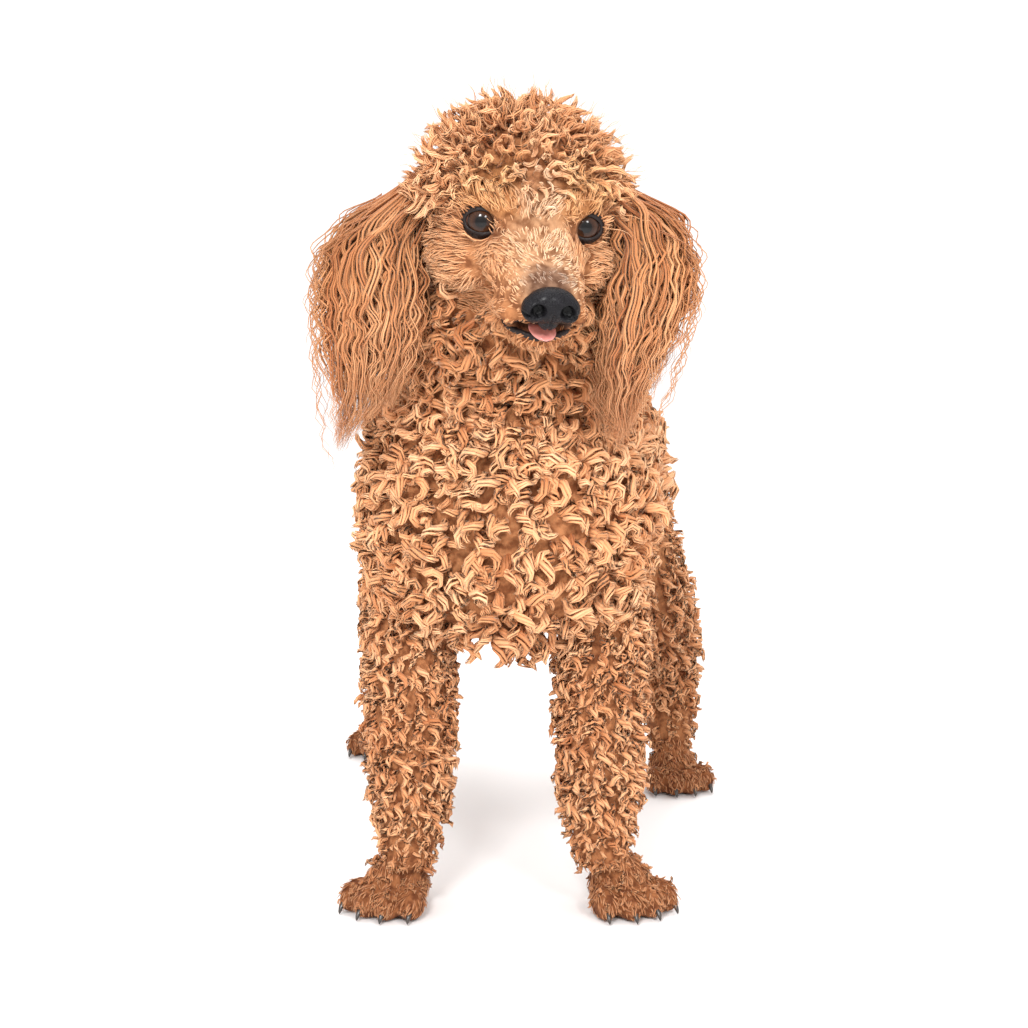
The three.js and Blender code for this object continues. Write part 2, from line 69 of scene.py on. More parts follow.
# The driving dimensions of the solids, in millimetres
WITHERS = 400.0
CHEST_WIDE = 99.0
CHEST_TALL = 91.0
CHEST_HIGH = WITHERS - CHEST_TALL
SKULL = np.array([60.0, 66.0, 52.0])
SKULL_MIDDLE = np.array([0.0, 2.0, 6.0])
HEAD_AT = np.array([4.0, -85.0, 519.0])
HEAD_TURN = (25.0, 3.0, 12.0)  # pitch, roll and yaw in degrees
EYE_RADIUS = 12.0
EYE_PLACE = np.array([34.0, -43.0, 9.0])
NOSE_AT = np.array([0.0, -123.0, -10.0])
TONGUE_AT = np.array([0.0, -112.0, -33.0])
FORELEG_SIDE = 70.0
PAW_WIDE = 30.0
PAW_LONG = 36.0
EAR_TOP = 541.0
MOUTH_HIGH = -33.0  # the line of the mouth, in the head's frame

# How far past a limb's flat end still counts as inside it, and what is outside for certain
END_SLACK = 3.0
OUTSIDE = 9.0

# The lowest point of paws and fur over the floor
FLOOR_GAP = 0.4

# Rows of locks stand closer than the locks of one row, as in a honeycomb
ROW_STEP = 0.87

# The share of a turn that spreads points evenly over a disc
GOLDEN_TURN = 0.618034

# How wide a strand's patch is on the unwrap of the skin
PATCH = 0.003

# How deep strands are over their width, for fur, locks, single hairs and whiskers
FUR_DEEP, LOCK_DEEP, HAIR_DEEP, WHISKER_DEEP = 0.30, 0.34, 0.36, 0.50

# The camera of the photograph, in the dog's frame, with its tilt in degrees
CAMERA_AT = (0.0, -1485.0, 518.0)
CAMERA_DOWN = 8.43
FOCAL_PIXELS = 2059.0
PHOTO_PIXELS = 1028.0
SENSOR = 36.0


class Slot(Enum):
    """The material slots of the record."""

    COAT = "coat"
    PALE = "coat_pale"
    DEEP = "coat_deep"
    EYE = "eye"
    NOSE = "nose"
    TONGUE = "tongue"
    CLAW = "claw"
    SKIN = "skin"


class Side(Enum):
    """The two sides of the dog, with the sign of X on each."""

    LEFT = 1
    RIGHT = -1

    @property
    def label(self) -> str:
        """The side's name in the names of pieces."""
        return self.name.lower()


def unit(vectors: Array) -> Array:
    """Scales vectors to length one.

    Args:
        vectors: An array whose last axis holds x, y and z.

    Returns:
        The array of the same shape with unit vectors.
    """
    return vectors / np.maximum(np.linalg.norm(vectors, axis=-1, keepdims=True), 1e-12)


def laid_on(normals: Array, ways: Array) -> Array:
    """Lays ways flat on a skin and scales them to length one.

    Args:
        normals: The skin's normal at each way.
        ways: The ways, one a row.

    Returns:
        The ways along the skin.
    """
    return unit(ways - normals * np.sum(ways * normals, axis=1, keepdims=True))


def smooth(low: float, high: float, value: Array) -> Array:
    """Rises smoothly from 0 at low to 1 at high.

    Args:
        low: Where the rise starts.
        high: Where the rise ends.
        value: The values to map.

    Returns:
        The mapped values.
    """
    t = np.clip((np.asarray(value, float) - low) / (high - low), 0.0, 1.0)
    return t * t * (3 - 2 * t)


def head_matrix() -> Array:
    """The turn of the head.

    Returns:
        A 3 by 3 matrix from the head's frame to the dog's.
    """
    pitch, roll, yaw = (math.radians(a) for a in HEAD_TURN)
    turn = Matrix.Rotation(yaw, 3, "Z") @ Matrix.Rotation(roll, 3, "Y")
    return np.array(turn @ Matrix.Rotation(pitch, 3, "X"))


HEAD = head_matrix()


def from_head(points: Array) -> Array:
    """Carries points from the head's frame to the dog's, in millimetres."""
    return np.asarray(points, float) @ HEAD.T + HEAD_AT


def to_head(points: Array) -> Array:
    """Carries points from the dog's frame to the head's, in millimetres."""
    return (np.asarray(points, float) - HEAD_AT) @ HEAD


def dog_origin() -> Array:
    """Finds where the row's frame starts, from where the left eye's solid is.

    Returns:
        The offset to take off a point of the dog's frame, in millimetres.
    """
    low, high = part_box("eye_left")
    middle = np.array((low + high) / 2) / MM
    return from_head(EYE_PLACE) - middle


ORIGIN = dog_origin() * np.array([1.0, 1.0, 0.0])


def placed(points: Array) -> Array:
    """Carries points from the dog's frame in millimetres to the row's frame in metres."""
    return (np.asarray(points, float) - ORIGIN) * MM


def from_eye(local: Array, sign: int) -> Array:
    """How far points of the head's frame are from the middle of the eye on one side."""
    return np.linalg.norm(local - EYE_PLACE * [sign, 1, 1], axis=1)


def spline(points: Array, t: Array) -> Array:
    """Follows a smooth curve through points, with knots spaced by the root of their distance.

    Args:
        points: The points of the curve, one a row.
        t: Places along the curve, from 0 to 1.

    Returns:
        One row for each place.
    """
    p = np.vstack([2 * points[0] - points[1], points, 2 * points[-1] - points[-2]])
    last = len(points) - 1
    at = np.clip(np.asarray(t, float), 0, 1) * last
    i = np.minimum(at.astype(int), last - 1)
    w = (at - i)[:, None]
    a, b, c, d = p[i], p[i + 1], p[i + 2], p[i + 3]
    gaps = [np.sqrt(np.linalg.norm(v, axis=1, keepdims=True)) for v in (b - a, c - b, d - c)]
    tiny = 1e-4
    middle = np.where(gaps[1] < tiny, 1.0, gaps[1])
    first = np.where(gaps[0] < tiny, middle, gaps[0])
    third = np.where(gaps[2] < tiny, middle, gaps[2])
    start = ((b - a) / first - (c - a) / (first + middle) + (c - b) / middle) * middle
    end = ((c - b) / middle - (d - b) / (middle + third) + (d - c) / third) * middle
    return (
        b
        + start * w
        + (-3 * b + 3 * c - 2 * start - end) * w**2
        + (2 * b - 2 * c + start + end) * w**3
    )


@dataclass
class Limb:
    """A body part along a curve through stations, each x, y, z, half width and half depth."""

    stations: list[tuple[float, float, float, float, float]]
    sideways: Triple = (1.0, 0.0, 0.0)
    steps: int = 90

    def __post_init__(self) -> None:
        """Works out the sections along the limb once."""
        table = np.array(self.stations, float)
        t = np.linspace(0, 1, self.steps + 1)
        centre = spline(table[:, :3], t)
        sizes = spline(np.hstack([table[:, 3:], np.zeros((len(table), 1))]), t)
        along = unit(np.gradient(centre, axis=0))
        across = np.array(self.sideways) - along * (along @ np.array(self.sideways))[:, None]
        self.centre = centre
        self.wide = sizes[:, 0]
        self.tall = sizes[:, 1]
        self.along = along
        self.side = unit(across)
        self.up = -unit(np.cross(self.side, along))

    def surface(self, lift: float = 0.0, around: int = 28) -> Shape:
        """Builds the limb as a closed surface.

        Args:
            lift: How far to grow it, in millimetres.
            around: Corners of each ring.

        Returns:
            The vertices in millimetres and the faces.
        """
        each = slice(None, None, 3)
        angle = np.arange(around) / around * TAU
        wide = np.maximum(self.wide[each, None, None] + lift, 1)
        tall = np.maximum(self.tall[each, None, None] + lift, 1)
        rings = self.centre[each, None] + (
            self.side[each, None] * np.cos(angle)[None, :, None] * wide
            + self.up[each, None] * np.sin(angle)[None, :, None] * tall
        )
        count = len(rings)
        faces: Faces = []
        for i in range(count - 1):
            low, high = i * around, (i + 1) * around
            for j in range(around):
                k = (j + 1) % around
                faces.append((low + j, low + k, high + k, high + j))
        faces.append(tuple(range(around))[::-1])
        faces.append(tuple(range((count - 1) * around, count * around)))
        return rings.reshape(-1, 3), faces

    def place(self, points: Array) -> tuple[Array, Array, Array]:
        """Finds where points are on the limb.

        Args:
            points: Points in millimetres.

        Returns:
            For each point, its share along the limb, its angle round it, and how far out it is,
            where 1 is on the surface.
        """
        d = points[:, None, :] - self.centre[None]
        run = np.abs(np.einsum("psi,si->ps", d, self.along))
        a = np.einsum("psi,si->ps", d, self.side) / self.wide
        b = np.einsum("psi,si->ps", d, self.up) / self.tall
        reach = np.sqrt(a**2 + b**2 + (run / np.minimum(self.wide, self.tall)) ** 2)
        best = np.argmin(reach, axis=1)
        row = np.arange(len(points))
        past = ((best == 0) | (best == self.steps)) & (run[row, best] > END_SLACK)
        angle = np.arctan2(b[row, best], a[row, best])
        return best / self.steps, angle, np.where(past, OUTSIDE, reach[row, best])

    def direction(self, share: Array) -> Array:
        """The direction of the limb at shares of its length."""
        return self.along[np.clip((share * self.steps).astype(int), 0, self.steps)]


def foreleg(side: Side) -> Limb:
    """One foreleg, from the shoulder to the pastern.

    Args:
        side: The side.

    Returns:
        The leg without its paw.
    """
    s = side.value
    x = FORELEG_SIDE - 6 if s > 0 else -FORELEG_SIDE - 7
    return Limb([
        (x * 0.86, 30, 300, 34, 46),
        (x * 0.96, 26, 240, 31, 38),
        (x, 16, 190, 28, 31),
        (x, 8, 140, 27, 28),
        (x, 4, 95, 25, 26),
        (x, 2, 68, 21, 22),
        (x + s * 2, -2, 46, 18, 19),
        (x + s * 3, -4, 33, 15, 16),
    ])


def hind_foot(side: Side) -> tuple[float, float]:
    """Where a hind foot stands: the left one under the stifle, the right one set back."""
    return (142.0, 318.0) if side is Side.LEFT else (-122.0, 440.0)


def hind_leg(side: Side) -> Limb:
    """One hind leg, from the hip over the stifle and the hock to the paw.

    Args:
        side: The side.

    Returns:
        The leg without its paw.
    """
    x, y = hind_foot(side)
    hip = 62.0 if side is Side.LEFT else -38.0

    def mix(a: float, b: float, share: float) -> float:
        """A value between two."""
        return a + (b - a) * share

    return Limb([
        (hip, 312, 322, 44, 58),
        (mix(hip, x, 0.25), mix(300, y, 0.15), 268, 42, 56),
        (mix(hip, x, 0.55), mix(270, y, 0.4), 212, 34, 42),
        (mix(hip, x, 0.85), y - 4, 156, 25, 31),
        (x, y + 36, 114, 20, 24),
        (x, y + 38, 84, 19, 21),
        (x, y + 26, 52, 19, 20),
        (x, y + 18, 34, 15, 16),
    ])


TORSO = Limb([
    (-5, 0, CHEST_HIGH, CHEST_WIDE - 22, CHEST_TALL - 22),
    (-2, 40, CHEST_HIGH + 1, CHEST_WIDE - 3, CHEST_TALL - 4),
    (2, 90, CHEST_HIGH + 4, CHEST_WIDE, CHEST_TALL),
    (8, 150, CHEST_HIGH + 11, CHEST_WIDE - 2, CHEST_TALL - 8),
    (12, 215, CHEST_HIGH + 18, CHEST_WIDE - 10, CHEST_TALL - 20),
    (14, 268, CHEST_HIGH + 12, CHEST_WIDE - 9, CHEST_TALL - 15),
    (14, 300, CHEST_HIGH - 16, CHEST_WIDE - 22, CHEST_TALL - 26),
    (14, 306, CHEST_HIGH - 50, CHEST_WIDE - 50, CHEST_TALL - 50),
])
NECK = Limb([
    (-5, 14, CHEST_HIGH - 90, 44, 34),
    (-5, 8, CHEST_HIGH - 58, 84, 58),
    (-5, 8, CHEST_HIGH - 8, CHEST_WIDE - 3, 64),
    (-5, 16, CHEST_HIGH + 46, CHEST_WIDE - 8, 70),
    (-3, 12, CHEST_HIGH + 84, 78, 66),
    (-1, -12, CHEST_HIGH + 120, 66, 60),
    (2, -44, CHEST_HIGH + 156, 56, 54),
    (4, -72, CHEST_HIGH + 203, 46, 44),
])
TAIL = Limb([
    (14, 332, 366, 24, 24),
    (14, 352, 396, 18, 18),
    (14, 364, 436, 18, 18),
    (14, 366, 474, 19, 19),
    (14, 360, 500, 15, 15),
    (14, 354, 513, 5, 5),
])
FORELEGS = {side: foreleg(side) for side in Side}
HIND_LEGS = {side: hind_leg(side) for side in Side}


def bands(rings: int, around: int, closed: bool = False) -> Faces:
    """Joins rings of corners, one after the other, with four-sided faces.

    Args:
        rings: How many rings there are.
        around: Corners of each ring.
        closed: Whether the last ring is joined to the first.

    Returns:
        The faces.
    """
    faces: Faces = []
    for i in range(rings if closed else rings - 1):
        low, high = i * around, (i + 1) % rings * around
        for j in range(around):
            k = (j + 1) % around
            faces.append((low + j, high + j, high + k, low + k))
    return faces


def ball(
    middle: Triple,
    half: Triple,
    turn: Triple = (0.0, 0.0, 0.0),
    rows: int = 24,
) -> Shape:
    """Builds an ellipsoid.

    Args:
        middle: Its middle, in millimetres.
        half: Its half sizes, in millimetres.
        turn: Its turn about x, y and z, in degrees.
        rows: Rings from pole to pole.

    Returns:
        The vertices and the faces.
    """
    around = rows * 3 // 2
    polar = np.linspace(0, math.pi, rows + 1)[1:-1, None]
    angle = np.arange(around)[None] / around * TAU
    unit_ball = np.stack([
        np.sin(polar) * np.cos(angle),
        np.sin(polar) * np.sin(angle),
        np.cos(polar) + 0 * angle,
    ], axis=-1).reshape(-1, 3)
    points = np.vstack([unit_ball, [[0, 0, 1], [0, 0, -1]]]) * np.array(half)
    x, y, z = (math.radians(a) for a in turn)
    spin = Matrix.Rotation(x, 3, "X") @ Matrix.Rotation(y, 3, "Y") @ Matrix.Rotation(z, 3, "Z")
    points = points @ np.array(spin).T + np.array(middle)
    faces = bands(rows - 1, around)
    top = (rows - 1) * around
    for j in range(around):
        k = (j + 1) % around
        faces.append((top, j, k))
        faces.append((top + 1, (rows - 2) * around + k, (rows - 2) * around + j))
    return points, faces


def mesh_object(name: str, points: Array, faces: Faces) -> Piece:
    """Makes a smooth-shaded mesh object and links it to the scene.

    Args:
        name: The object's name.
        points: The vertices, in metres.
        faces: The faces.

    Returns:
        The object.
    """
    mesh = bpy.data.meshes.new(name)
    mesh.from_pydata([tuple(p) for p in points], [], faces)
    mesh.update()
    mesh.shade_smooth()
    piece = bpy.data.objects.new(name, mesh)
    bpy.context.scene.collection.objects.link(piece)
    return piece


def joined(shapes: list[Shape]) -> Shape:
    """Puts several closed surfaces in one list of vertices and faces.

    Args:
        shapes: The surfaces.

    Returns:
        The vertices and the faces of all of them.
    """
    points: list[Array] = []
    faces: Faces = []
    start = 0
    for places, polygons in shapes:
        points.append(places)
        faces.extend(tuple(i + start for i in polygon) for polygon in polygons)
        start += len(places)
    return np.vstack(points), faces


def fused(name: str, shapes: list[Shape], voxel: float, rounds: int) -> Piece:
    """Fuses closed surfaces into one even, smoothed skin.

    Args:
        name: The object's name.
        shapes: The surfaces, in metres.
        voxel: The size of the new faces, in metres.
        rounds: How many times it is smoothed.

    Returns:
        The object, with its modifiers applied.
    """
    piece = mesh_object(name, *joined(shapes))
    remesh = piece.modifiers.new("fuse", "REMESH")
    remesh.mode = "VOXEL"
    remesh.voxel_size = voxel
    remesh.use_smooth_shade = True
    relax = piece.modifiers.new("relax", "SMOOTH")
    relax.factor = 0.5
    relax.iterations = rounds
    graph = bpy.context.evaluated_depsgraph_get()
    applied = bpy.data.meshes.new_from_object(piece.evaluated_get(graph))
    piece.modifiers.clear()
    old = piece.data
    piece.data = applied
    bpy.data.meshes.remove(old)
    applied.name = name
    return piece


def vertices_of(piece: Piece) -> Array:
    """The vertices of a piece, in metres.

    Args:
        piece: The piece.

    Returns:
        One row for each vertex.
    """
    places = np.zeros(len(piece.data.vertices) * 3, np.float32)
    piece.data.vertices.foreach_get("co", places)
    return places.reshape(-1, 3).astype(float)


def normals_of(piece: Piece) -> Array:
    """The vertex normals of a piece.

    Args:
        piece: The piece.

    Returns:
        One row for each vertex.
    """
    out = np.zeros(len(piece.data.vertices) * 3, np.float32)
    piece.data.vertices.foreach_get("normal", out)
    return out.reshape(-1, 3).astype(float)


def dog_places(piece: Piece) -> Array:
    """The vertices of a piece in the dog's frame, in millimetres."""
    return vertices_of(piece) / MM + ORIGIN


def move_vertices(piece: Piece, points: Array) -> None:
    """Moves the vertices of a piece to points in the dog's frame, in millimetres."""
    piece.data.vertices.foreach_set("co", placed(points).astype(np.float32).ravel())
    piece.data.update()


class Markings:
    """The colours of skin and coat over the body, as linear light, with painted shade towards the
    belly and under the chin.
    """

    body = np.array([0.80, 0.400, 0.188])
    deep = np.array([0.56, 0.225, 0.090])
    pale = np.array([0.86, 0.545, 0.325])
    gold = np.array([0.80, 0.410, 0.170])
    rust_and_shade = np.array([0.60, 0.240, 0.085])
    smudge = np.array([0.24, 0.150, 0.120])
    paw = np.array([0.46, 0.195, 0.080])
    tear = np.array([0.20, 0.075, 0.050])

    def tint(self, points: Array) -> Array:
        """Colours points by where they are on the dog.

        Args:
            points: Points in the dog's frame, in millimetres.

        Returns:
            One linear colour for each point.
        """
        local = to_head(points)
        x, y, z = local[:, 0], local[:, 1], local[:, 2]
        colour = np.repeat(self.body[None], len(points), axis=0)

        def lay(shade: Array, amount: Array) -> None:
            """Lays a shade over the colour."""
            colour[:] += (shade - colour) * np.clip(amount, 0, 1)[:, None]

        lay(self.paw, smooth(64, 12, points[:, 2]) * 0.9)
        # Painted shade: the coat and skin darken below the chest, on the belly and down the legs,
        # where the body shades them.
        lay(self.deep, smooth(255, 190, points[:, 2]) * 0.35)
        # Painted shadow: the neck just under the chin is darkened with the rust colour, where the
        # head shades it.
        under_chin_shade = smooth(372, 400, points[:, 2]) * smooth(470, 440, points[:, 2])
        under_chin_shade = under_chin_shade * smooth(-8, -40, points[:, 1])
        lay(self.rust_and_shade, under_chin_shade * 0.55)
        from_middle = np.linalg.norm((local - [0, -34, -8]) / [0.9, 1.35, 0.95], axis=1)
        on_head = smooth(78, 62, from_middle)
        bridge = on_head * smooth(-30, -62, y) * smooth(-22, -6, z) * smooth(30, 12, np.abs(x))
        lay(self.pale, bridge)
        brows = on_head * smooth(14, 22, z) * smooth(8, 20, np.abs(x)) * smooth(-20, -40, y)
        lay(self.gold, brows * 0.9)
        lay(self.rust_and_shade, on_head * smooth(-30, -42, z) * smooth(-48, -70, y) * 0.85)
        nose_top = np.linalg.norm((local - (NOSE_AT + [0, 12, 10])) / [17, 17, 13], axis=1)
        lay(self.smudge, smooth(1.35, 0.55, nose_top) * 0.75)
        for sign in SIGNS:
            away = local - EYE_PLACE * [sign, 1, 1] - [-12 * sign, -10, -7]
            corner = np.linalg.norm(away / [9, 12, 9], axis=1)
            lay(self.tear, smooth(1.3, 0.5, corner) * 0.8)
        return colour

    def ear(self, points: Array) -> Array:
        """Colours the hair of the ears, deeper than the body.

        Args:
            points: Points in the dog's frame, in millimetres.

        Returns:
            One linear colour for each point.
        """
        drop = smooth(EAR_TOP, EAR_TOP - 110, points[:, 2])[:, None]
        top = (self.gold + self.deep) / 2
        return top + (self.deep - top) * drop


MARKINGS = Markings()


@dataclass
class Hair:
    """Strands of one coat piece, gathered by group before they become one mesh."""

    name: str
    ear: bool = False
    groups: list[dict[str, Array]] = field(default_factory=list)

    def add(
        self,
        paths: Array,
        face: Array,
        width: Array,
        tone: Array,
        chart: Array,
        flat: float = HAIR_DEEP,
    ) -> None:
        """Adds strands that share a number of points.

        Args:
            paths: The points of each strand, in millimetres, shaped strand, point, axis.
            face: Which way each point's broad side faces, shaped like the paths.
            width: The full width at each point, in millimetres.
            tone: A shade for each strand, 0 dark to 1 light.
            chart: The root's place on the unwrap of the skin, from 0 to 1.
            flat: Depth over width.
        """
        self.groups.append({
            "paths": paths, "face": face, "width": width, "tone": tone, "chart": chart,
            "flat": np.array(flat),
        })

    def build(self) -> Piece:
        """Turns the strands into one mesh of closed three-sided tapers.

        Returns:
            The piece, with its shade, tint and maps as attributes.
        """
        built = [self._tapers(group) for group in self.groups]
        vertex = np.cumsum([0] + [len(part["points"]) for part in built])
        corner = np.cumsum([0] + [len(part["loops"]) for part in built])
        corners = np.concatenate([part["loops"] + start for part, start in zip(built, vertex)])
        firsts = np.concatenate([part["starts"] + start for part, start in zip(built, corner)])
        whole = {
            key: np.concatenate([part[key] for part in built])
            for key in ("points", "root", "shade", "own", "patch")
        }
        mesh = bpy.data.meshes.new(self.name)
        mesh.vertices.add(len(whole["points"]))
        mesh.vertices.foreach_set("co", placed(whole["points"]).astype(np.float32).ravel())
        mesh.loops.add(len(corners))
        mesh.loops.foreach_set("vertex_index", corners.astype(np.int32))
        mesh.polygons.add(len(firsts))
        mesh.polygons.foreach_set("loop_start", firsts.astype(np.int32))
        mesh.update(calc_edges=True)
        mesh.shade_smooth()
        colour = MARKINGS.ear if self.ear else MARKINGS.tint
        paint(mesh, colour(whole["root"]), *whole["shade"].T)
        for label, key in (("OFBake", "patch"), ("Strand", "own")):
            layer = mesh.uv_layers.new(name=label)
            layer.uv.foreach_set("vector", whole[key][corners].astype(np.float32).ravel())
        piece = bpy.data.objects.new(self.name, mesh)
        bpy.context.scene.collection.objects.link(piece)
        return piece

    @staticmethod
    def _tapers(group: dict[str, Array]) -> dict[str, Array]:
        """Sweeps a triangle along each path of a group and closes it in a point.

        Args:
            group: What add() gathered.

        Returns:
            The vertices, faces and attributes of the group.
        """
        paths, face, width = group["paths"], group["face"], group["width"]
        count, rows, _ = paths.shape
        along = unit(np.gradient(paths, axis=1))
        side = unit(np.cross(along, face))
        up = unit(np.cross(side, along))
        half = width[..., None] / 2
        ring = np.stack([
            paths - side * half,
            paths + up * half * float(group["flat"]) * 2,
            paths + side * half,
        ], axis=2)[:, :-1]
        body = ring.reshape(count, (rows - 1) * 3, 3)
        points = np.concatenate([body, paths[:, -1:]], axis=1)
        per = points.shape[1]
        t = np.append(np.repeat(np.linspace(0, 1, rows)[:-1], 3), 1.0)
        u = np.append(np.tile([0.0, 0.5, 1.0], rows - 1), 0.5)
        quads = [
            (i * 3 + j, i * 3 + (j + 1) % 3, i * 3 + 3 + (j + 1) % 3, i * 3 + 3 + j)
            for i in range(rows - 2)
            for j in range(3)
        ]
        last = (rows - 2) * 3
        ends = [(last + j, last + (j + 1) % 3, per - 1) for j in range(3)]
        sizes = [4] * len(quads) + [3] * (len(ends) + 1)
        corner = np.array([i for polygon in quads + ends + [(2, 1, 0)] for i in polygon])
        first = np.concatenate([[0], np.cumsum(sizes)[:-1]])
        offset = np.arange(count)[:, None]
        tone = np.repeat(group["tone"], per)
        run, across = np.tile(t, count), np.tile(u, count)
        spot = np.stack([np.tile(u - 0.5, count), np.tile(t - 0.5, count)], axis=1)
        return {
            "points": points.reshape(-1, 3),
            "loops": (corner[None] + offset * per).ravel(),
            "starts": (first[None] + offset * len(corner)).ravel(),
            "shade": np.stack([tone, run], axis=1),
            "root": np.repeat(paths[:, 0], per, axis=0) * 0.5 + points.reshape(-1, 3) * 0.5,
            "own": np.stack([across + tone * 17, run], axis=1),
            "patch": np.repeat(group["chart"], per, axis=0) + spot * PATCH,
        }


def paint(mesh: bpy.types.Mesh, tint: Array, *shade: Array) -> None:
    """Writes the colour attributes that the finishes read.

    Args:
        mesh: The mesh.
        tint: A linear colour for each vertex.
        shade: Up to three numbers from 0 to 1 for each vertex. Those left out are 0.
    """
    parts = np.zeros((len(tint), 3))
    for k, values in enumerate(shade):
        parts[:, k] = values
    solid = np.ones((len(tint), 1))
    for label, colours in (("tint", tint), ("shade", parts)):
        layer = mesh.attributes.new(label, "FLOAT_COLOR", "POINT")
        layer.data.foreach_set("color", np.hstack([colours, solid]).astype(np.float32).ravel())


@dataclass(frozen=True)
class CurlStyle:
    """How a lock of the coat curls, in millimetres, with its lean from the skin in degrees."""

    length: float
    radius: float
    turns: float
    lean: float
    spacing: float
    width: float
    thick: float
    rise: float
    strands: int
    points: int
    mess: float = 0.45
    opening: float = 0.45


CHEST_CURL = CurlStyle(
    24, 4.8, 1.1, lean=24, spacing=7.8, width=4.0, thick=3.0, rise=5.0, strands=5, points=8
)
BODY_CURL = CurlStyle(
    23, 5.0, 1.0, lean=25, spacing=11.6, width=4.8, thick=3.2, rise=5.5, strands=5, points=7
)
LEG_CURL = CurlStyle(
    16, 3.1, 0.9, lean=24, spacing=6.5, width=4.0, thick=1.9, rise=2.0, strands=3, points=6
)
HIND_CURL = CurlStyle(
    17, 3.4, 0.9, lean=25, spacing=8.3, width=4.4, thick=2.2, rise=2.0, strands=3, points=6
)
TAIL_CURL = CurlStyle(
    15, 3.6, 0.95, lean=38, spacing=9.8, width=3.6, thick=2.2, rise=3.0, strands=4, points=7
)
CROWN_CURL = CurlStyle(
    23, 3.3, 0.8, lean=41, spacing=6.8, width=1.9, thick=2.2, rise=3.0, strands=6, points=7
)


def curls(
    hair: Hair,
    style: CurlStyle,
    roots: Array,
    normals: Array,
    flow: Array,
    chart: Array,
    rng: Chance,
    scale: Array,
) -> None:
    """Grows curled locks, each a round bundle of strands along a coil that leans with the flow.

    Args:
        hair: The coat piece to add them to.
        style: How the locks curl.
        roots: Where they grow, in millimetres.
        normals: The way out of the skin at each root.
        flow: The way the coat lies at each root.
        chart: Each root's place on the unwrap.
        rng: The random numbers.
        scale: A size for each lock.
    """
    count = len(roots)
    size = scale * rng.uniform(0.8, 1.15, count)
    lay = flow + rng.normal(0, style.mess, (count, 3))
    lay = laid_on(normals, lay)
    lean = np.radians(style.lean + rng.normal(0, 9, count))[:, None]
    axis = unit(lay * np.cos(lean) + normals * np.sin(lean))
    first = unit(np.cross(axis, normals))
    second = np.cross(axis, first)
    hand = np.where(rng.random(count) < 0.5, -1.0, 1.0)[:, None]
    start = rng.uniform(0, TAU, count)[:, None]
    turns = (style.turns * rng.uniform(0.7, 1.3, count))[:, None]
    t = np.linspace(0, 1, style.points)[None]
    angle = start + hand * turns * TAU * t
    grow = smooth(0.0, style.opening, t) * (1 - 0.3 * smooth(0.75, 1.0, t))
    radius = (style.radius * size)[:, None] * grow * rng.uniform(0.8, 1.2, (count, 1))
    radial = first[:, None] * np.cos(angle)[..., None] + second[:, None] * np.sin(angle)[..., None]
    sunk = 1.5
    lift = style.rise * size[:, None] * rng.uniform(0.4, 1.5, (count, 1)) * smooth(0, 0.5, t) - sunk
    spine = (
        roots[:, None]
        + normals[:, None] * lift[..., None]
        + axis[:, None] * (style.length * size)[:, None, None] * (t**0.9)[..., None]
        + radial * radius[..., None]
    )
    drift = roots @ np.array([0.043, 0.031, 0.052]) + 2.1 * np.sin(roots[:, 0] * 0.05)
    patchy = 0.16 * np.sin(drift)
    tone = np.clip(0.5 + patchy + rng.normal(0, 0.22, count), 0, 1)
    fan = style.thick * size[:, None] * np.sin(np.pi * np.clip(0.10 + 0.82 * t, 0, 1)) ** 0.8
    for b in range(style.strands):
        turn = (b + rng.uniform(-0.25, 0.25, (count, 1))) / style.strands * TAU
        away = radial * np.cos(turn)[..., None] * 0.75 + axis[:, None] * np.sin(turn)[..., None]
        path = spine + away * fan[..., None] * rng.uniform(0.75, 1.15, (count, 1, 1))
        wide = style.width * size[:, None] * (1 - 0.70 * t**2.0) * (0.6 + 0.4 * smooth(0, 0.3, t))
        shade = np.clip(tone + rng.normal(0, 0.10, count), 0, 1)
        hair.add(path, away, wide, shade, chart, flat=LOCK_DEEP)


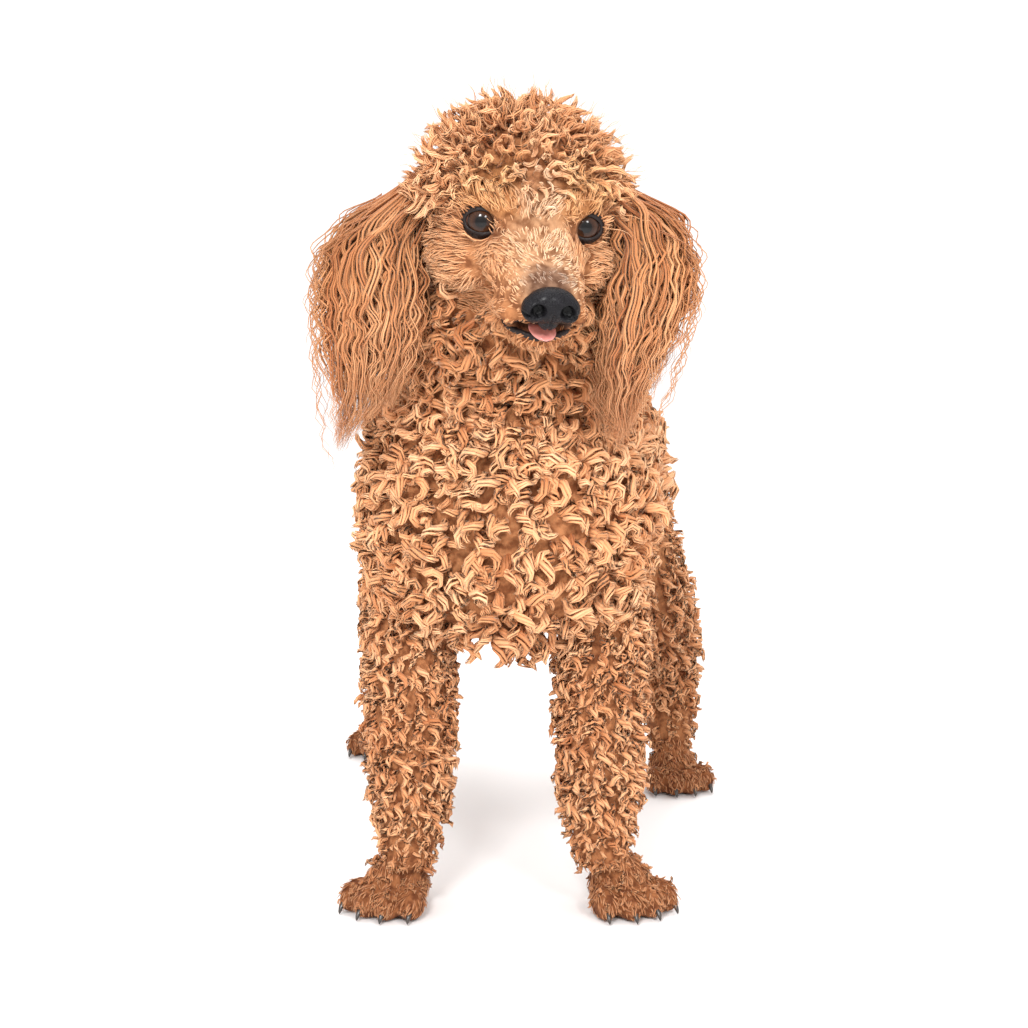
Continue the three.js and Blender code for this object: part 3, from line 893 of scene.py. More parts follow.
@dataclass
class LimbCoat:
    """The coat of one limb: where its locks grow and which way they lie.

    No lock grows inside a limb of covers, unless it is ahead of front. Behind full_to only the
    share behind of the locks is left, and keep picks the places of the piece.
    """

    name: str
    limb: Limb
    style: CurlStyle
    covers: list[Limb]
    seed: int
    reach: float = 1.0
    keep: Rule | None = None
    drop: float = 0.8
    front: float = -1000.0
    full_to: float = 1000.0
    behind: float = 0.5
    stray: float = 0.3
    covered: float = 0.97

    def build(self) -> Piece:
        """Grows the coat piece.

        Returns:
            The piece.
        """
        rng = np.random.default_rng(self.seed)
        limb, gap = self.limb, self.style.spacing
        steps = np.linalg.norm(np.diff(limb.centre, axis=0), axis=1)
        lengths = np.concatenate([[0], np.cumsum(steps)])
        shares, angles = [], []
        row = 0
        run = 0.0
        while run < lengths[-1] * self.reach:
            share = np.interp(run, lengths, np.linspace(0, 1, len(lengths)))
            i = int(share * limb.steps)
            wide, tall = limb.wide[i], limb.tall[i]
            girth = math.pi * (3 * (wide + tall) - math.sqrt((3 * wide + tall) * (wide + 3 * tall)))
            count = max(5, int(round(girth / gap)))
            stray = self.stray
            turn = (np.arange(count) + 0.5 * (row % 2) + rng.uniform(-stray, stray, count)) / count
            shares.append(share + rng.uniform(-stray, stray, count) * gap / lengths[-1])
            angles.append(turn * TAU)
            row += 1
            run += gap * ROW_STEP
        share = np.clip(np.concatenate(shares), 0, 0.999)
        angle = np.concatenate(angles)
        i = (share * limb.steps).astype(int)
        ring = (
            limb.side[i] * (np.cos(angle) * limb.wide[i])[:, None]
            + limb.up[i] * (np.sin(angle) * limb.tall[i])[:, None]
        )
        roots = limb.centre[i] + ring
        normals = unit(
            limb.side[i] * (np.cos(angle) / limb.wide[i])[:, None]
            + limb.up[i] * (np.sin(angle) / limb.tall[i])[:, None]
        )
        keep = np.ones(len(roots), bool)
        for other in self.covers:
            keep &= (other.place(roots)[2] > self.covered) | (roots[:, 1] < self.front)
        if self.keep is not None:
            keep &= self.keep(roots)
        keep &= (roots[:, 1] < self.full_to) | (rng.random(len(roots)) < self.behind)
        roots, normals, share, angle = roots[keep], normals[keep], share[keep], angle[keep]
        flow = limb.direction(share) * 0.3 + np.array([0, 0, -1.0]) * self.drop
        chart = np.stack([(angle / TAU) % 1.0, share], axis=1) * 0.98 + 0.01
        hair = Hair(self.name)
        size = 1.0 - 0.38 * smooth(100, 42, roots[:, 2])
        curls(hair, self.style, roots, normals, flow, chart, rng, size)
        return hair.build()


def scatter(
    piece: Piece,
    weigh: Callable[[Array, Array], Array],
    each: float,
    rng: Chance,
) -> tuple[Array, Array]:
    """Scatters roots over a skin, evenly by area.

    Args:
        piece: The skin.
        weigh: Says for places and normals, in millimetres, how thick the fur is, from 0 to 1.
        each: The area of one root where the fur is thickest, in square millimetres.
        rng: The random numbers.

    Returns:
        The places and normals of the roots.
    """
    mesh = piece.data
    mesh.calc_loop_triangles()
    corner = np.zeros(len(mesh.loop_triangles) * 3, np.int32)
    mesh.loop_triangles.foreach_get("vertices", corner)
    corner = corner.reshape(-1, 3)
    places = dog_places(piece)
    out = normals_of(piece)
    a, b, c = (places[corner[:, k]] for k in range(3))
    area = np.linalg.norm(np.cross(b - a, c - a), axis=1) / 2
    weight = weigh((a + b + c) / 3, unit(out[corner].sum(axis=1)))
    want = area * weight / each
    number = np.floor(want + rng.random(len(want))).astype(int)
    pick = np.repeat(np.arange(len(want)), number)
    u, v = rng.random(len(pick)), rng.random(len(pick))
    flip = u + v > 1
    u[flip], v[flip] = 1 - u[flip], 1 - v[flip]
    share = np.stack([1 - u - v, u, v], axis=1)
    roots = np.einsum("nk,nki->ni", share, places[corner[pick]])
    normals = unit(np.einsum("nk,nki->ni", share, out[corner[pick]]))
    return roots, normals


@dataclass
class Skin:
    """The dog's one skin, fused from the cores of its parts, with its lids and lips."""

    voxel: float = 3.0 * MM
    rounds: int = 4
    body_lift: float = 4.0
    leg_lift: float = 1.0
    face_lift: float = -3.0
    jaw_lift: float = -2.0
    cheek_lift: float = -4.0
    ear_lift: float = -1.0
    mouth_deep: float = 8.5
    socket_deep: float = 2.0

    def shapes(self) -> list[Shape]:
        """The closed surfaces that are fused into the skin, in metres.

        Returns:
            The surfaces of the body, the head, the paws and the ears' flaps.
        """
        body = [limb.surface(self.body_lift) for limb in (TORSO, NECK)]
        body.append(TAIL.surface(self.leg_lift))
        for legs in (FORELEGS, HIND_LEGS):
            body += [leg.surface(self.leg_lift) for leg in legs.values()]
        head = [(from_head(points), faces) for points, faces in self.head_shapes()]
        paws = [shape for s in Side for paw in (Paw.fore(s), Paw.hind(s)) for shape in paw.shapes()]
        ears = [Ear(s).leather().surface(self.ear_lift) for s in Side]
        return [(placed(points), faces) for points, faces in body + head + paws + ears]

    def head_shapes(self) -> list[Shape]:
        """The head's parts, in millimetres in the head's own frame.

        Returns:
            The muzzle, the jaw, the skull, the brows, the flews and the cheeks.
        """
        lift = self.face_lift
        muzzle = Limb([
            (0, -20, -7, 50, 36), (0, -46, -9, 41, 31), (0, -70, -12, 35, 26),
            (0, -94, -14, 31, 22), (0, -109, -15, 27, 19), (0, -117, -15, 18, 13),
        ])
        jaw = Limb([
            (0, -30, -41, 27, 15), (0, -58, -42, 27, 14), (0, -84, -42, 25, 13),
            (0, -102, -41, 21, 11), (0, -112, -40, 13, 8), (0, -116, -39, 5, 4),
        ])
        skull = ball(tuple(SKULL_MIDDLE), tuple(SKULL - 1))
        shapes = [muzzle.surface(lift), jaw.surface(self.jaw_lift), skull]
        shapes.append(ball((0, -20, -2), (52 + lift, 39 + lift, 44 + lift)))
        for s in SIGNS:
            shapes.append(ball((25 * s, -48, 25), (17, 10, 8), (20, 0, 18 * s)))
            shapes.append(ball((20 * s, -92, -27), (10.5, 24, 10.5), (-6, 8 * s, 8 * s)))
            cheek = Limb([
                (30 * s, -50, -16, 14, 16), (36 * s, -38, -20, 22, 24), (40 * s, -18, -22, 25, 28),
                (38 * s, 2, -20, 22, 26), (34 * s, 14, -18, 12, 14),
            ])
            shapes.append(cheek.surface(self.cheek_lift))
        return shapes

    def shape_face(self, piece: Piece) -> None:
        """Presses the mouth, the eye sockets and the fold under them into the skin.

        Args:
            piece: The fused skin.
        """
        places = dog_places(piece)
        normals = normals_of(piece) @ HEAD
        local = to_head(places)
        ahead = smooth(-44, -60, local[:, 1])
        slope = local[:, 2] - MOUTH_HIGH + 0.05 * (local[:, 1] + 96)
        groove = np.exp(-((slope / 3.0) ** 2)) * ahead
        inward = normals * [1, 1, 0.15]
        local -= inward * (groove * self.mouth_deep)[:, None]
        for s in SIGNS:
            away = from_eye(local, s)
            local -= normals * (smooth(17, 8, away) * self.socket_deep)[:, None]
        move_vertices(piece, from_head(local))

    def build(self) -> Piece:
        """Fuses the skin and adds the lids and lips.

        Returns:
            The skin, standing for every node of flesh.
        """
        piece = fused("skin", self.shapes(), self.voxel, self.rounds)
        self.shape_face(piece)
        base = len(piece.data.vertices)
        extra = [eye.lid() for eye in (Eye(s) for s in Side)] + Mouth().lips(piece)
        trim = mesh_object("trim", *joined([(placed(points), faces) for points, faces in extra]))
        bpy.ops.object.select_all(action="DESELECT")
        trim.select_set(True)
        piece.select_set(True)
        bpy.context.view_layer.objects.active = piece
        bpy.ops.object.join()
        places = dog_places(piece)
        # Painted shade: the skin is coloured darker than the coat, so that where it shows between
        # the locks it stands for the shade in the gaps.
        tint = MARKINGS.tint(places) * 0.8
        dark = np.zeros(len(places))
        dark[base:] = 1.0
        local = to_head(places)
        mouth = smooth(34, 20, np.abs(local[:, 0])) * smooth(-50, -74, local[:, 1])
        mouth = mouth * np.exp(-(((local[:, 2] - MOUTH_HIGH) / 3.2) ** 2))
        dark[:base] = mouth[:base]
        for s in SIGNS:
            away = from_eye(local, s)
            dark[:base] = np.maximum(dark[:base], smooth(15.5, 12.5, away[:base]) * 0.9)
        paint(piece.data, tint, dark)
        return piece


@dataclass
class Paw:
    """One paw: a pad with four toes and their claws."""

    x: float
    y: float
    heading: float
    size: float
    claw: float = 2.5
    claw_rows: int = 14

    @classmethod
    def fore(cls, side: Side) -> "Paw":
        """The forepaw of a side."""
        x = FORELEG_SIDE + 12 if side is Side.LEFT else -FORELEG_SIDE - 20
        return cls(x, -2.0, 24.0 * side.value, 1.0)

    @classmethod
    def hind(cls, side: Side) -> "Paw":
        """The hind paw of a side."""
        x, y = hind_foot(side)
        return cls(x + 3 * side.value, y + 4, 12.0 * side.value, 0.92)

    def turned(self, points: Array) -> Array:
        """Carries points from the paw's frame, ahead at -Y, to the dog's.

        Args:
            points: Points in millimetres.

        Returns:
            The points on the dog.
        """
        a = math.radians(self.heading)
        spin = np.array([[math.cos(a), -math.sin(a), 0], [math.sin(a), math.cos(a), 0], [0, 0, 1]])
        return np.asarray(points, float) @ spin.T + [self.x, self.y, 0]

    def toes(self) -> list[Triple]:
        """Each toe's place across and ahead, and its turn.

        Returns:
            One row for each toe, in millimetres and degrees.
        """
        wide, long = PAW_WIDE * self.size, PAW_LONG * self.size
        return [
            ((i - 1.5) * 0.52 * wide, (0.62 if i in (1, 2) else 0.4) * long, (i - 1.5) * 9.0)
            for i in range(4)
        ]

    def shapes(self) -> list[Shape]:
        """The pad and the toes, in millimetres.

        Returns:
            The closed surfaces, flat at the floor.
        """
        wide, long = PAW_WIDE * self.size, PAW_LONG * self.size
        parts = [ball((0, 6, 17), (0.84 * wide - 2, 0.72 * long - 2, 22))]
        for across, ahead, turn in self.toes():
            parts.append(ball((across, -ahead, 11), (0.29 * wide, 0.48 * long, 13), (0, 0, turn)))
        floor_cut = []
        for points, faces in parts:
            places = self.turned(points)
            places[:, 2] = np.maximum(places[:, 2], FLOOR_GAP)
            floor_cut.append((places, faces))
        return floor_cut

    def claws(self) -> list[Shape]:
        """Four curved claws, in millimetres.

        Returns:
            One closed surface for each claw.
        """
        long = PAW_LONG * self.size
        out = []
        for across, ahead, turn in self.toes():
            a = math.radians(turn)
            tip = ahead + 0.5 * long
            path = np.array([
                (across * 1.1, -(tip - 10), 10.0),
                (across * 1.14, -(tip - 5), 9.0),
                (across * 1.17, -(tip - 1.5), 6.4),
                (across * 1.18, -(tip + 0.5), 3.4),
                (across * 1.18, -(tip + 1), 1.8),
            ])
            path[:, 0] += math.sin(a) * 2
            rows = self.claw_rows
            spine = self.turned(spline(path, np.linspace(0, 1, rows)))
            out.append(tube(spine, self.claw * (1 - np.linspace(0, 0.93, rows) ** 1.6), 12))
        return out


def tube(spine: Array, radius: Array, around: int) -> Shape:
    """Sweeps a circle along a line and closes its ends.

    Args:
        spine: The points of the line.
        radius: The radius at each point.
        around: Corners of each ring.

    Returns:
        The vertices and the faces.
    """
    along = unit(np.gradient(spine, axis=0))
    guide = np.array([0.03, 0.1, 1.0])
    side = unit(np.cross(along, guide))
    up = np.cross(side, along)
    angle = np.arange(around) / around * TAU
    rings = spine[:, None] + np.asarray(radius)[:, None, None] * (
        side[:, None] * np.cos(angle)[None, :, None] + up[:, None] * np.sin(angle)[None, :, None]
    )
    count = len(spine)
    faces = bands(count, around)
    faces.append(tuple(range(around)))
    faces.append(tuple(range((count - 1) * around, count * around))[::-1])
    return rings.reshape(-1, 3), faces


@dataclass
class Eye:
    """One eye: a ball whose iris looks at the viewer, in an almond of dark lids."""

    side: Side
    wide_open: float = 45.0
    high_open: float = 33.0
    low_open: float = 32.0
    rows: int = 72
    around: int = 56

    @property
    def middle(self) -> Array:
        """The middle of the ball in the dog's frame, in millimetres."""
        return from_head(EYE_PLACE * [self.side.value, 1, 1])

    def gaze(self) -> tuple[Array, Array, Array]:
        """The way the eye looks, the way across it and the way up it.

        Returns:
            Three ways at right angles, in the dog's frame.
        """
        ahead = unit(np.array(CAMERA_AT) - self.middle)
        socket = HEAD @ unit(np.array([0.40 * self.side.value, -1.0, 0.06]))
        ahead = unit(ahead * 0.72 + socket * 0.28)
        across = unit(np.cross(ahead, HEAD @ np.array([0.06 * self.side.value, 0, 1.0])))
        return ahead, across, np.cross(across, ahead)

    def build(self) -> Piece:
        """Builds the ball, whose shade says how far each point is from where it looks.

        Returns:
            The piece.
        """
        points, faces = ball((0, 0, 0), (1, 1, 1), rows=self.rows)
        ahead, across, above = self.gaze()
        spun = points[:, :1] * across + points[:, 1:2] * above + points[:, 2:] * ahead
        bulge = 1 + 0.05 * smooth(0.55, 0.95, points[:, 2])
        piece = mesh_object(
            f"eye_{self.side.label}_ball",
            placed(self.middle + spun * (EYE_RADIUS * bulge)[:, None]),
            faces,
        )
        angle = np.degrees(np.arccos(np.clip(points[:, 2], -1, 1))) / 90
        turn = (np.arctan2(points[:, 1], points[:, 0]) / TAU) % 1.0
        paint(piece.data, np.zeros((len(points), 3)), angle, turn)
        return piece

    def lid(self) -> Shape:
        """Builds the lids as one rim round the opening, with a fold above.

        Returns:
            The vertices in millimetres and the faces.
        """
        ahead, across, above = self.gaze()
        around = self.around
        profile = [
            (12.3, 9.0), (12.45, 1.0), (12.8, -0.4), (13.3, 0.6), (13.7, 3.5), (14.0, 8.0),
            (13.5, 13.0), (13.9, 19.0), (13.2, 30.0), (12.0, 40.0), (11.0, 30.0),
        ]
        points = []
        for i in range(around):
            turn = i / around * TAU
            c, s = math.cos(turn), math.sin(turn)
            tall = self.high_open if s > 0 else self.low_open
            pointed = abs(c) ** 5
            reach = 1 / math.sqrt((c / self.wide_open) ** 2 + (s / tall) ** 2)
            inner = pointed if c * self.side.value > 0 else 0.0
            reach += 7.0 * pointed + 5.0 * inner
            droop = -5.0 * inner / 60
            for k, (radius, extra) in enumerate(profile):
                a = math.radians(reach + extra)
                fold = 0.9 * max(s, 0) if k in (5, 7) else 0.0
                way = ahead * math.cos(a) + (across * c + above * (s + droop)) * math.sin(a)
                points.append(self.middle + unit(way) * (radius + fold))
        return np.array(points), bands(around, len(profile), closed=True)


@dataclass
class Mouth:
    """The lips and the tip of the tongue between them, with heights in the head's frame."""

    upper_high: float = -28.4
    upper_thick: float = 2.0
    lower_high: float = -37.6
    lower_thick: float = 2.5
    sweep: float = 54.0
    fan_from: float = -74.0
    sunk: float = 0.8
    tongue_half: Triple = (8.8, 14.0, 2.8)
    tongue_tilt: float = -4.0

    def lips(self, skin: Piece) -> list[Shape]:
        """Lays a dark lip along each edge of the mouth, on the skin.

        Args:
            skin: The fused skin, before anything is joined to it.

        Returns:
            The upper and the lower lip, in millimetres.
        """
        tree = surface_tree(skin)
        out = []
        upper = (self.upper_high, self.upper_thick)
        for high, radius in (upper, (self.lower_high, self.lower_thick)):
            spine = []
            for turn in np.linspace(-self.sweep, self.sweep, 46):
                a = math.radians(turn)
                start = from_head(np.array([[0, self.fan_from, high]]))[0]
                way = HEAD @ np.array([math.sin(a), -math.cos(a), -0.02])
                hit = tree(start, way)
                if hit is not None:
                    spine.append(hit - way * self.sunk)
            spine = np.array(spine)
            for _ in range(6):
                spine[1:-1] = (spine[:-2] + 2 * spine[1:-1] + spine[2:]) / 4
            thick = radius * (0.45 + 0.55 * np.sin(np.linspace(0.1, math.pi - 0.1, len(spine))))
            out.append(tube(spine, thick, 10))
        return out

    def tongue(self) -> Piece:
        """Builds the tip of the tongue, with a groove down its middle.

        Returns:
            The piece.
        """
        points, faces = ball((0, 1.5, 0), self.tongue_half, rows=40)
        x, y = points[:, 0], points[:, 1]
        groove = -0.9 * np.exp(-((x / 1.8) ** 2)) * (points[:, 2] > 0)
        points[:, 2] += groove - 0.012 * (x**2) * 0.3
        points[:, 2] -= smooth(2, -16, y) * 2.0
        a = math.radians(self.tongue_tilt)
        tilt = [[1, 0, 0], [0, math.cos(a), -math.sin(a)], [0, math.sin(a), math.cos(a)]]
        spun = points @ np.array(tilt).T
        return mesh_object("tongue_tip", placed(from_head(spun + TONGUE_AT)), faces)


def surface_tree(piece: Piece) -> Callable[[Array, Array], Array | None]:
    """Makes a way to cast rays at a piece.

    Args:
        piece: The piece.

    Returns:
        A function from a start and a way, in the dog's frame, to where the ray meets the piece,
        or to None.
    """
    tree = BVHTree.FromObject(piece, bpy.context.evaluated_depsgraph_get())

    def cast(start: Array, way: Array) -> Array | None:
        """Casts one ray."""
        hit = tree.ray_cast(Vector(placed(start)), Vector(way))[0]
        return None if hit is None else np.array(hit) / MM + ORIGIN

    return cast


@dataclass
class Nose:
    """The nose pad, with comma nostrils and the groove between them, in the head's frame."""

    pad_half: Triple = (17.0, 11.0, 12.5)
    wing_half: Triple = (8.5, 9.5, 9.0)
    hole_at: Triple = (9.4, -131.5, -10.5)
    hole_half: Triple = (5.0, 8.0, 4.3)
    hole_turn: float = 32.0
    slit_at: Triple = (14.8, -127.5, -14.0)
    slit_half: Triple = (5.0, 7.0, 1.7)
    hole_deep: float = 5.5
    groove_half: float = 0.9
    groove_deep: float = 1.4
    voxel: float = 0.75 * MM
    rounds: int = 5

    def hollow(self, local: Array) -> Array:
        """How far points are inside a nostril: a round hole with a slit that runs out of it.

        Args:
            local: Points in the head's frame, in millimetres.

        Returns:
            A number from 0 to 1 for each point.
        """
        out = np.zeros(len(local))
        for s in SIGNS:
            a = math.radians(self.hole_turn * s)
            d = local - self.hole_at * np.array([s, 1, 1])
            across = d[:, 0] * math.cos(a) - d[:, 2] * math.sin(a)
            above = d[:, 0] * math.sin(a) + d[:, 2] * math.cos(a)
            wide, deep, tall = self.hole_half
            hole = np.sqrt((across / wide) ** 2 + (above / tall) ** 2 + (d[:, 1] / deep) ** 2)
            d = local - self.slit_at * np.array([s, 1, 1])
            wide, deep, tall = self.slit_half
            slit = np.sqrt((d[:, 0] / wide) ** 2 + (d[:, 2] / tall) ** 2 + (d[:, 1] / deep) ** 2)
            out = np.maximum(out, smooth(1.25, 0.55, hole))
            out = np.maximum(out, smooth(1.2, 0.6, slit) * 0.75)
        return out

    def build(self) -> Piece:
        """Builds the pad and presses the nostrils and the groove in.

        Returns:
            The piece, whose shade is dark in the nostrils.
        """
        parts = [
            ball(tuple(NOSE_AT), self.pad_half, (14, 0, 0)),
            ball((0, -121, -17), (8, 9, 11)),
            ball((10.5, -124, -12), self.wing_half),
            ball((-10.5, -124, -12), self.wing_half),
        ]
        shapes = [(placed(from_head(points)), faces) for points, faces in parts]
        piece = fused("nose_pad", shapes, self.voxel, self.rounds)
        local = to_head(dog_places(piece))
        normals = normals_of(piece) @ HEAD
        hollow = self.hollow(local)
        groove = np.exp(-((local[:, 0] / self.groove_half) ** 2))
        groove = groove * smooth(-9, -14, local[:, 2]) * smooth(-118, -124, local[:, 1])
        local -= normals * (groove * self.groove_deep)[:, None]
        local[:, 1] += hollow * self.hole_deep
        move_vertices(piece, from_head(local))
        paint(piece.data, np.zeros((len(local), 3)), hollow)
        return piece


EAR_HEIGHTS = [352, 366, 390, 420, 457, 490, 515, 535, 547]
EAR_EDGES = {  # the inner and the outer edge at each of the heights
    Side.LEFT: (
        [72, 62, 54, 54, 60, 62, 60, 58, 58],
        [78, 94, 106, 116, 126, 125, 116, 104, 96],
    ),
    Side.RIGHT: (
        [112, 96, 66, 58, 58, 60, 58, 56, 56],
        [124, 130, 134, 137, 138, 134, 120, 106, 98],
    ),
}
EAR_TIPS = {  # heights of the lowest hair from the inner edge to the outer
    Side.LEFT: [378, 358, 364, 384, 410],
    Side.RIGHT: [396, 384, 366, 354, 360],
}


@dataclass
class Ear:
    """One long-haired ear: a leather flap under wavy locks that hang to points."""

    side: Side
    bundles: int = 88
    strands: int = 7
    points: int = 32
    wave: float = 27.0
    swing: float = 3.8
    middle_y: float = -84.0
    depth: float = 27.0
    bundle: float = 3.1
    strand: float = 1.9
    stray_hairs: int = 22

    def leather(self) -> Limb:
        """The flap under the hair, well inside it.

        Returns:
            The flap, from where it hangs to its tip.
        """
        s = self.side.value
        x, y, z = 60.0 * s, self.middle_y, EAR_TOP
        return Limb([
            (x - 12 * s, y + 14, z - 10, 14, 6),
            (x + 4 * s, y + 4, z - 10, 18, 6),
            (x + 22 * s, y, z - 22, 20, 6),
            (x + 33 * s, y, z - 50, 20, 5),
            (x + 34 * s, y, z - 76, 16, 5),
            (x + 32 * s, y, z - 92, 8, 3),
        ], sideways=(0.2 * s, 1.0, 0.0))

    def outline(self, z: Array) -> tuple[Array, Array]:
        """The ear's outline at a height.

        Args:
            z: Heights in millimetres.

        Returns:
            The middle's distance from the dog's middle, and the half width.
        """
        inner, outer = EAR_EDGES[self.side]
        low = np.interp(z, EAR_HEIGHTS, inner)
        high = np.interp(z, EAR_HEIGHTS, outer)
        return (low + high) / 2, (high - low) / 2

    def build(self, rng: Chance) -> Piece:
        """Grows the ear's locks.

        Args:
            rng: The random numbers.

        Returns:
            The coat piece.
        """
        s = self.side.value
        hair = Hair(f"ear_{self.side.label}_locks", ear=True)
        count = self.bundles
        t = np.linspace(0, 1, self.points)[None]
        order = np.arange(count)
        turn = (order * GOLDEN_TURN) % 1.0 * TAU
        ring = np.sqrt((order + 0.5) / count)
        across = np.cos(turn) * ring
        depth = np.sin(turn) * ring
        top = EAR_TOP + 8 - rng.uniform(0, 24, count) - 4 * np.abs(across)
        low = np.interp(across, [-1, -0.6, 0, 0.6, 1], EAR_TIPS[self.side])
        end = low + rng.uniform(-2, 1, count) ** 2 * 14 - 2 + 10 * np.abs(depth)
        height = top[:, None] + (end - top)[:, None] * (t**1.06)
        middle, half = self.outline(height)
        gather = 1 - 0.30 * smooth(0.6, 1.0, t)
        behind = smooth(0.1, 0.8, depth)[:, None] * smooth(-0.1, -0.6, across)[:, None]
        x = s * (middle + across[:, None] * half * 0.88 * gather - 14 * behind)
        root = s * (57 + 9 * across[:, None] + rng.uniform(-3, 3, (count, 1)))
        fall = smooth(-0.05, 0.26, t)
        x = root + (x - root) * fall
        spread = self.depth * np.sin(np.pi * np.clip(0.12 + 0.82 * t, 0, 1)) ** 0.5
        y = self.middle_y + depth[:, None] * spread + 8 * (1 - fall)
        phase = rng.uniform(0, TAU, (count, 1))
        period = self.wave * rng.uniform(0.78, 1.5, (count, 1))
        run = (top[:, None] - height) / period * TAU + phase
        run = run + 1.3 * np.sin(run * 0.37 + rng.uniform(0, TAU, (count, 1)))
        swell = self.swing * rng.uniform(0.4, 1.3, (count, 1)) * smooth(0.0, 0.3, t)
        plane = rng.uniform(0, TAU, (count, 1))
        x = x + (np.cos(plane) * np.sin(run) - 0.5 * np.sin(plane) * np.cos(run)) * swell
        y = y + (np.sin(plane) * np.sin(run) + 0.5 * np.cos(plane) * np.cos(run)) * swell
        spine = np.stack([x, y, height + 0 * x], axis=-1)
        tone = np.clip(rng.normal(0.52, 0.26, count), 0, 1)
        chart = np.stack([turn / TAU, ring], axis=1) * 0.96 + 0.02
        out = unit(np.stack([s * (0.6 + across), depth - 0.35, 0 * across], axis=1))
        for b in range(self.strands):
            angle = b / self.strands * TAU + rng.uniform(0, 1.2, (count, 1))
            spiral = angle + run * 0.12
            fan = self.bundle * (np.sin(np.pi * np.clip(0.06 + 0.84 * t, 0, 1)) ** 0.8)
            stray = 1 + 1.6 * rng.random((count, 1)) ** 2 * t**2
            path = spine + np.stack([
                np.cos(spiral) * fan * stray,
                np.sin(spiral) * fan * stray,
                -rng.uniform(0, 9, (count, 1)) * t**4,
            ], axis=-1)
            outward = np.stack([np.cos(spiral), np.sin(spiral), 0 * spiral], axis=-1)
            face = np.repeat(out[:, None], self.points, axis=1) + 0.5 * outward
            wide = self.strand * (0.55 + 0.45 * smooth(0, 0.15, t))
            wide = wide * (1 - 0.86 * smooth(0.5, 1.0, t))
            wide = wide * rng.uniform(0.8, 1.2, (count, 1))
            shade = np.clip(tone + rng.normal(0, 0.17, count), 0, 1)
            hair.add(path, face, wide, shade, chart, flat=LOCK_DEEP)
        self.stray(hair, rng)
        return hair.build()

    def stray(self, hair: Hair, rng: Chance) -> None:
        """Adds single fine hairs that wave outside the locks.

        Args:
            hair: The coat piece.
            rng: The random numbers.
        """
        s, count, rows = self.side.value, self.stray_hairs, 26
        t = np.linspace(0, 1, rows)[None]
        top = EAR_TOP - rng.uniform(12, 40, (count, 1))
        height = top - t * rng.uniform(60, 175, (count, 1))
        middle, half = self.outline(height)
        edge = np.where(rng.random((count, 1)) < 0.75, 1.0, -1.0)
        across = edge * rng.uniform(0.8, 1.04, (count, 1))
        run = height / rng.uniform(16, 30, (count, 1)) * TAU + rng.uniform(0, TAU, (count, 1))
        root, swing = 60, 2.6
        x = s * (root + (middle + across * half - root) * smooth(-0.35, 0.25, t))
        x = x + swing * np.sin(run)
        y = -86 + rng.uniform(-24, 22, (count, 1)) + swing * np.cos(run)
        face = np.zeros((count, rows, 3)) + np.array([0.3 * s, -1.0, 0.1])
        wide = 0.8 * (1 - 0.7 * t**2) * np.ones((count, 1))
        chart = np.stack([np.full(count, 0.99), rng.uniform(0.05, 0.95, count)], axis=1)
        path = np.stack([x, y, height], axis=-1)
        hair.add(path, face, wide, rng.uniform(0.3, 1, count), chart)


EYES = np.array([EYE_PLACE * [sign, 1, 1] for sign in SIGNS])


